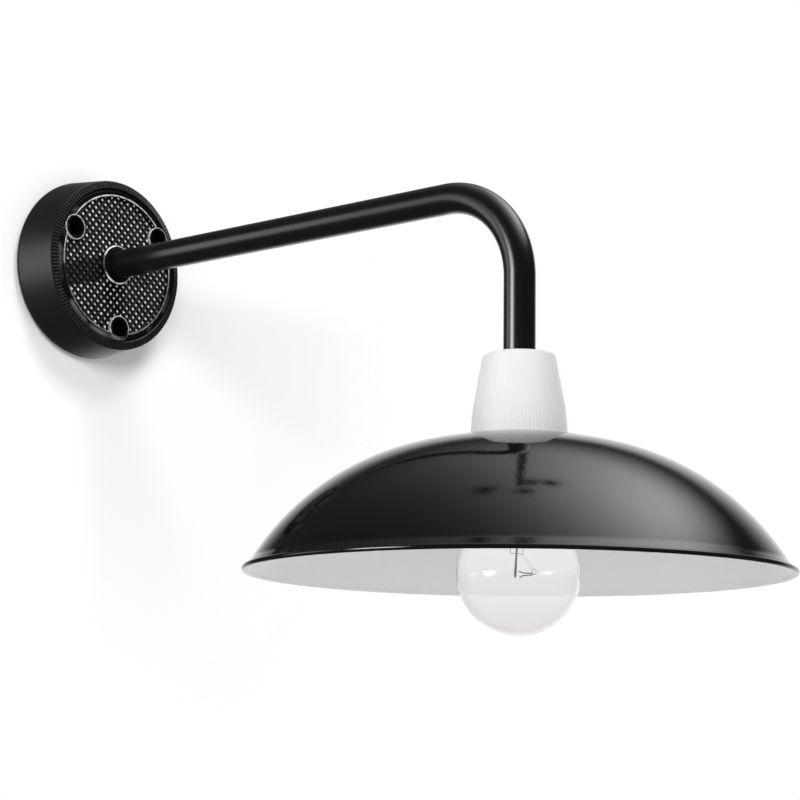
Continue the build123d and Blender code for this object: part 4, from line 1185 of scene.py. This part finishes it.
# Clamps on the studio's dark rod: degrees to the right of straight ahead and above level, and tightness
RIG_CLAMPS = ((18, 85.5, 1300), (-48, 80, 900), (16, 79, 1300), (34, 77, 1300))


def compass(side, height):
    """A direction from the lamp, in degrees to the right of straight ahead and above level."""
    level = VIEW_AHEAD * cos(radians(side)) + VIEW_RIGHT * sin(radians(side))
    return level * cos(radians(height)) + Vector((0, 0, sin(radians(height))))


class WALLLAMP_OT_stage(LampOperator, bpy.types.Operator):
    """Set the wall, the floor, the studio light and the camera"""

    bl_idname = "wall_lamp.stage"
    bl_label = "Stage"

    def execute(self, context):
        stage = settings(context).stage
        context.scene.view_settings.view_transform = "Standard"
        self.make_backdrops(stage)
        self.make_world(context.scene, stage)
        self.make_lamps(stage)
        self.make_camera(context.scene, stage)
        return {"FINISHED"}

    def make_backdrops(self, stage):
        """A wall round the base and a floor below, both fading out to the white surround."""
        wall = self.disc("wall", base_high.z * 0.9, stage.wall_radius)
        wall.matrix_world = Matrix.Translation((-WALL_GAP, 0, 0)) @ Matrix.Rotation(radians(90), 4, "Y")
        floor = self.disc("floor", 0, FLOOR_RADIUS)
        floor.location = (drop_axis[0], 0, -stage.floor_drop)
        wall.data.materials.append(self.backdrop("wall_white", stage, stage.wall_radius, 0.0))
        floor.data.materials.append(self.backdrop("floor_white", stage, FLOOR_RADIUS, FLOOR_VEIL))

    def disc(self, name, inner, outer):
        """A flat ring that faces up, or a disc where inner is 0."""
        profile = [(radius, 0) for radius in (inner, (inner + outer) / 2, outer)]
        shape = turned(profile, DISC_SIDES, closed=False, axis=(0, 0))
        shape.normal_update()
        for face in shape.faces:
            if face.normal.z < 0:
                face.normal_flip()
        return add_object(name, mesh_of(name, shape))

    def backdrop(self, name, stage, reach, veil):
        """White that takes the lamp's shadow, fades out to the surround and is veiled for the eye."""
        finish = Finish(name)
        plaster = finish.noise(35, detail=3)
        tone = finish.mix(plaster * 0.2, stage.backdrop, (0.95, 0.95, 0.95))
        lit = finish.node("ShaderNodeBsdfDiffuse", {}, {"Color": tone})
        clear = finish.node("ShaderNodeBsdfTransparent", {}, {"Color": (1, 1, 1)})
        out = finish.node("ShaderNodeVectorMath", {"operation": "LENGTH"}, {0: finish.place()}, out=1)
        fade = out.ease(0.45 * reach, 0.95 * reach)
        behind = finish.geometry("Backfacing")
        unseen = behind.larger(finish.ray("Is Shadow Ray", "Is Glossy Ray")).larger(fade)
        unseen = unseen.larger(veil * finish.ray("Is Camera Ray"))
        return finish.show(finish.blend(unseen, lit, clear))

    def make_world(self, scene, stage):
        """White where the eye looks, a white sweep and a box in the gloss, and light from below elsewhere."""
        scene.world = bpy.data.worlds.new("studio")
        sky = ShaderTree(scene.world)
        towards = sky.node("ShaderNodeTexCoord", {}, {}, out="Generated")
        height = sky.parts(towards)[2]
        sweep = sky.dot(towards, compass(8, 0)).ease(0.7, 0.99) * (1 - height.ease(0.45, 0.6))
        box = stage.right_box * sky.dot(towards, compass(80, 50)).peak(6.4) * height.ease(0.53, 0.84)
        mirrored = DARK_ROOM + (sweep + box) * (1 - self.rig(sky, towards))
        seen = sky.ray("Is Camera Ray", "Is Transmission Ray")
        glossy = sky.ray("Is Glossy Ray")
        ambient = stage.ambient * (1 - 0.85 * height.ease(-0.25, 0.3))
        level = seen + (1 - seen) * (glossy * mirrored + (1 - glossy) * ambient)
        background = sky.node("ShaderNodeBackground", {}, {"Color": (1, 1, 1), "Strength": level})
        sky.node("ShaderNodeOutputWorld", {}, {"Surface": background})

    def rig(self, sky, towards):
        """1 where the gloss shows the dark rod that holds the lamp up in the studio, and its clamps."""
        off_rod = sky.dot(towards, compass(94, 0)).size()
        in_front = sky.dot(towards, VIEW_AHEAD).ease(0.1, 0.16)
        above = sky.parts(towards)[2].ease(0.1, 0.2)
        found = (1 - off_rod.ease(0.009, 0.017)) * in_front * above
        for side, height, tightness in RIG_CLAMPS:
            found = found.larger(sky.dot(towards, compass(side, height)).peak(tightness))
        return found

    def make_lamps(self, stage):
        """Two lights that show in the gloss and three soft ones for the shapes and shadows."""
        middle = Vector((drop_axis[0], 0, -0.1))
        wall_middle = Vector((0.1, 0, 0))
        beside_wall = Vector((-0.737, -0.642, 0.04))
        for name, target, direction, distance, size, shows in (
            ("left_strip", middle, compass(-121, 6), 1.3, (0.75, 0.95), "gloss"),
            ("left_panel", Vector((0.15, 0, 0)), beside_wall, 1.2, (0.9, 0.95), "gloss"),
            ("left_fill", middle, compass(-125, 20), 1.6, (0.6, 0.6), "shape"),
            ("front_fill", wall_middle, Vector((0.72, -0.68, 0.13)), 1.8, (0.5, 0.5), "shape"),
            ("top_fill", wall_middle, Vector((0.73, -0.2, 0.65)), 1.5, (0.5, 0.5), "shape"),
        ):
            self.lamp(name, target, direction, distance, size, getattr(stage, name), shows)

    def lamp(self, name, target, direction, distance, size, level, shows):
        """A soft rectangle that faces the target, so bright against white, for gloss or for shape."""
        light = bpy.data.lights.new(name, "AREA")
        light.shape = "RECTANGLE"
        light.size, light.size_y = size
        light.energy = pi * size[0] * size[1]
        sheet = ShaderTree(light)
        across, along, _ = sheet.parts(sheet.geometry("Parametric"))
        if shows == "gloss":
            for share in (across, along):
                level = level * share.ease(0, 0.35) * (1 - share.ease(0.65, 1))
        glow = sheet.node("ShaderNodeEmission", {}, {"Color": (1, 1, 1), "Strength": level})
        sheet.node("ShaderNodeOutputLight", {}, {"Surface": glow})
        made = add_object(name, light)
        direction = direction.normalized()
        turn = direction.to_track_quat("Z", "Y").to_matrix().to_4x4()
        made.matrix_world = Matrix.Translation(target + direction * distance) @ turn
        made.visible_camera = False
        made.visible_glossy = shows == "gloss"
        made.visible_diffuse = shows == "shape"

    def make_camera(self, scene, stage):
        """The eye at the photograph's place."""
        forward = VIEW_AHEAD * cos(VIEW_PITCH) + Vector((0, 0, sin(VIEW_PITCH)))
        up = VIEW_RIGHT.cross(forward)
        right = VIEW_RIGHT * cos(VIEW_ROLL) + up * sin(VIEW_ROLL)
        up = up * cos(VIEW_ROLL) - VIEW_RIGHT * sin(VIEW_ROLL)
        lens = bpy.data.cameras.new("eye")
        lens.sensor_fit = "HORIZONTAL"
        lens.sensor_width = 36
        lens.lens = stage.lens
        lens.clip_start = 0.01
        camera = add_object("eye", lens)
        turn = Matrix((right, up, -forward)).transposed().to_4x4()
        camera.matrix_world = Matrix.Translation(VIEW_FROM) @ turn
        scene.camera = camera


# Panel and registration

STEPS = (
    WALLLAMP_OT_base,
    WALLLAMP_OT_arm,
    WALLLAMP_OT_wiring,
    WALLLAMP_OT_lampholder,
    WALLLAMP_OT_shade,
    WALLLAMP_OT_bulb,
    WALLLAMP_OT_stage,
)


class WALLLAMP_PT_panel(bpy.types.Panel):
    """Lists the lamp's steps and settings"""

    bl_idname = "WALLLAMP_PT_panel"
    bl_label = "Wall Lamp"
    bl_space_type = "VIEW_3D"
    bl_region_type = "UI"
    bl_category = "Wall Lamp"

    def draw(self, context):
        for step in STEPS:
            self.layout.operator(step.bl_idname)
        lamp = settings(context)
        for group in (lamp.shade, lamp.porcelain, lamp.bulb, lamp.arm, lamp.colours, lamp.stage):
            box = self.layout.box()
            for name in group.__annotations__:
                box.prop(group, name)


GROUPS = (ShadeSizes, PorcelainSizes, BulbSizes, ArmSizes, FinishColours, StageSettings, WallLampSettings)
CLASSES = (*GROUPS, *STEPS, WALLLAMP_PT_panel)


def register():
    """Add the lamp's classes and settings to Blender."""
    for cls in CLASSES:
        bpy.utils.register_class(cls)
    bpy.types.Scene.wall_lamp = PointerProperty(type=WallLampSettings)


def unregister():
    """Take them out again."""
    del bpy.types.Scene.wall_lamp
    for cls in reversed(CLASSES):
        bpy.utils.unregister_class(cls)


def main():
    """Dress the lamp and set the stage."""
    register()
    for step in STEPS:
        group, name = step.bl_idname.split(".")
        getattr(getattr(bpy.ops, group), name)()


if __name__ == "__main__":
    main()
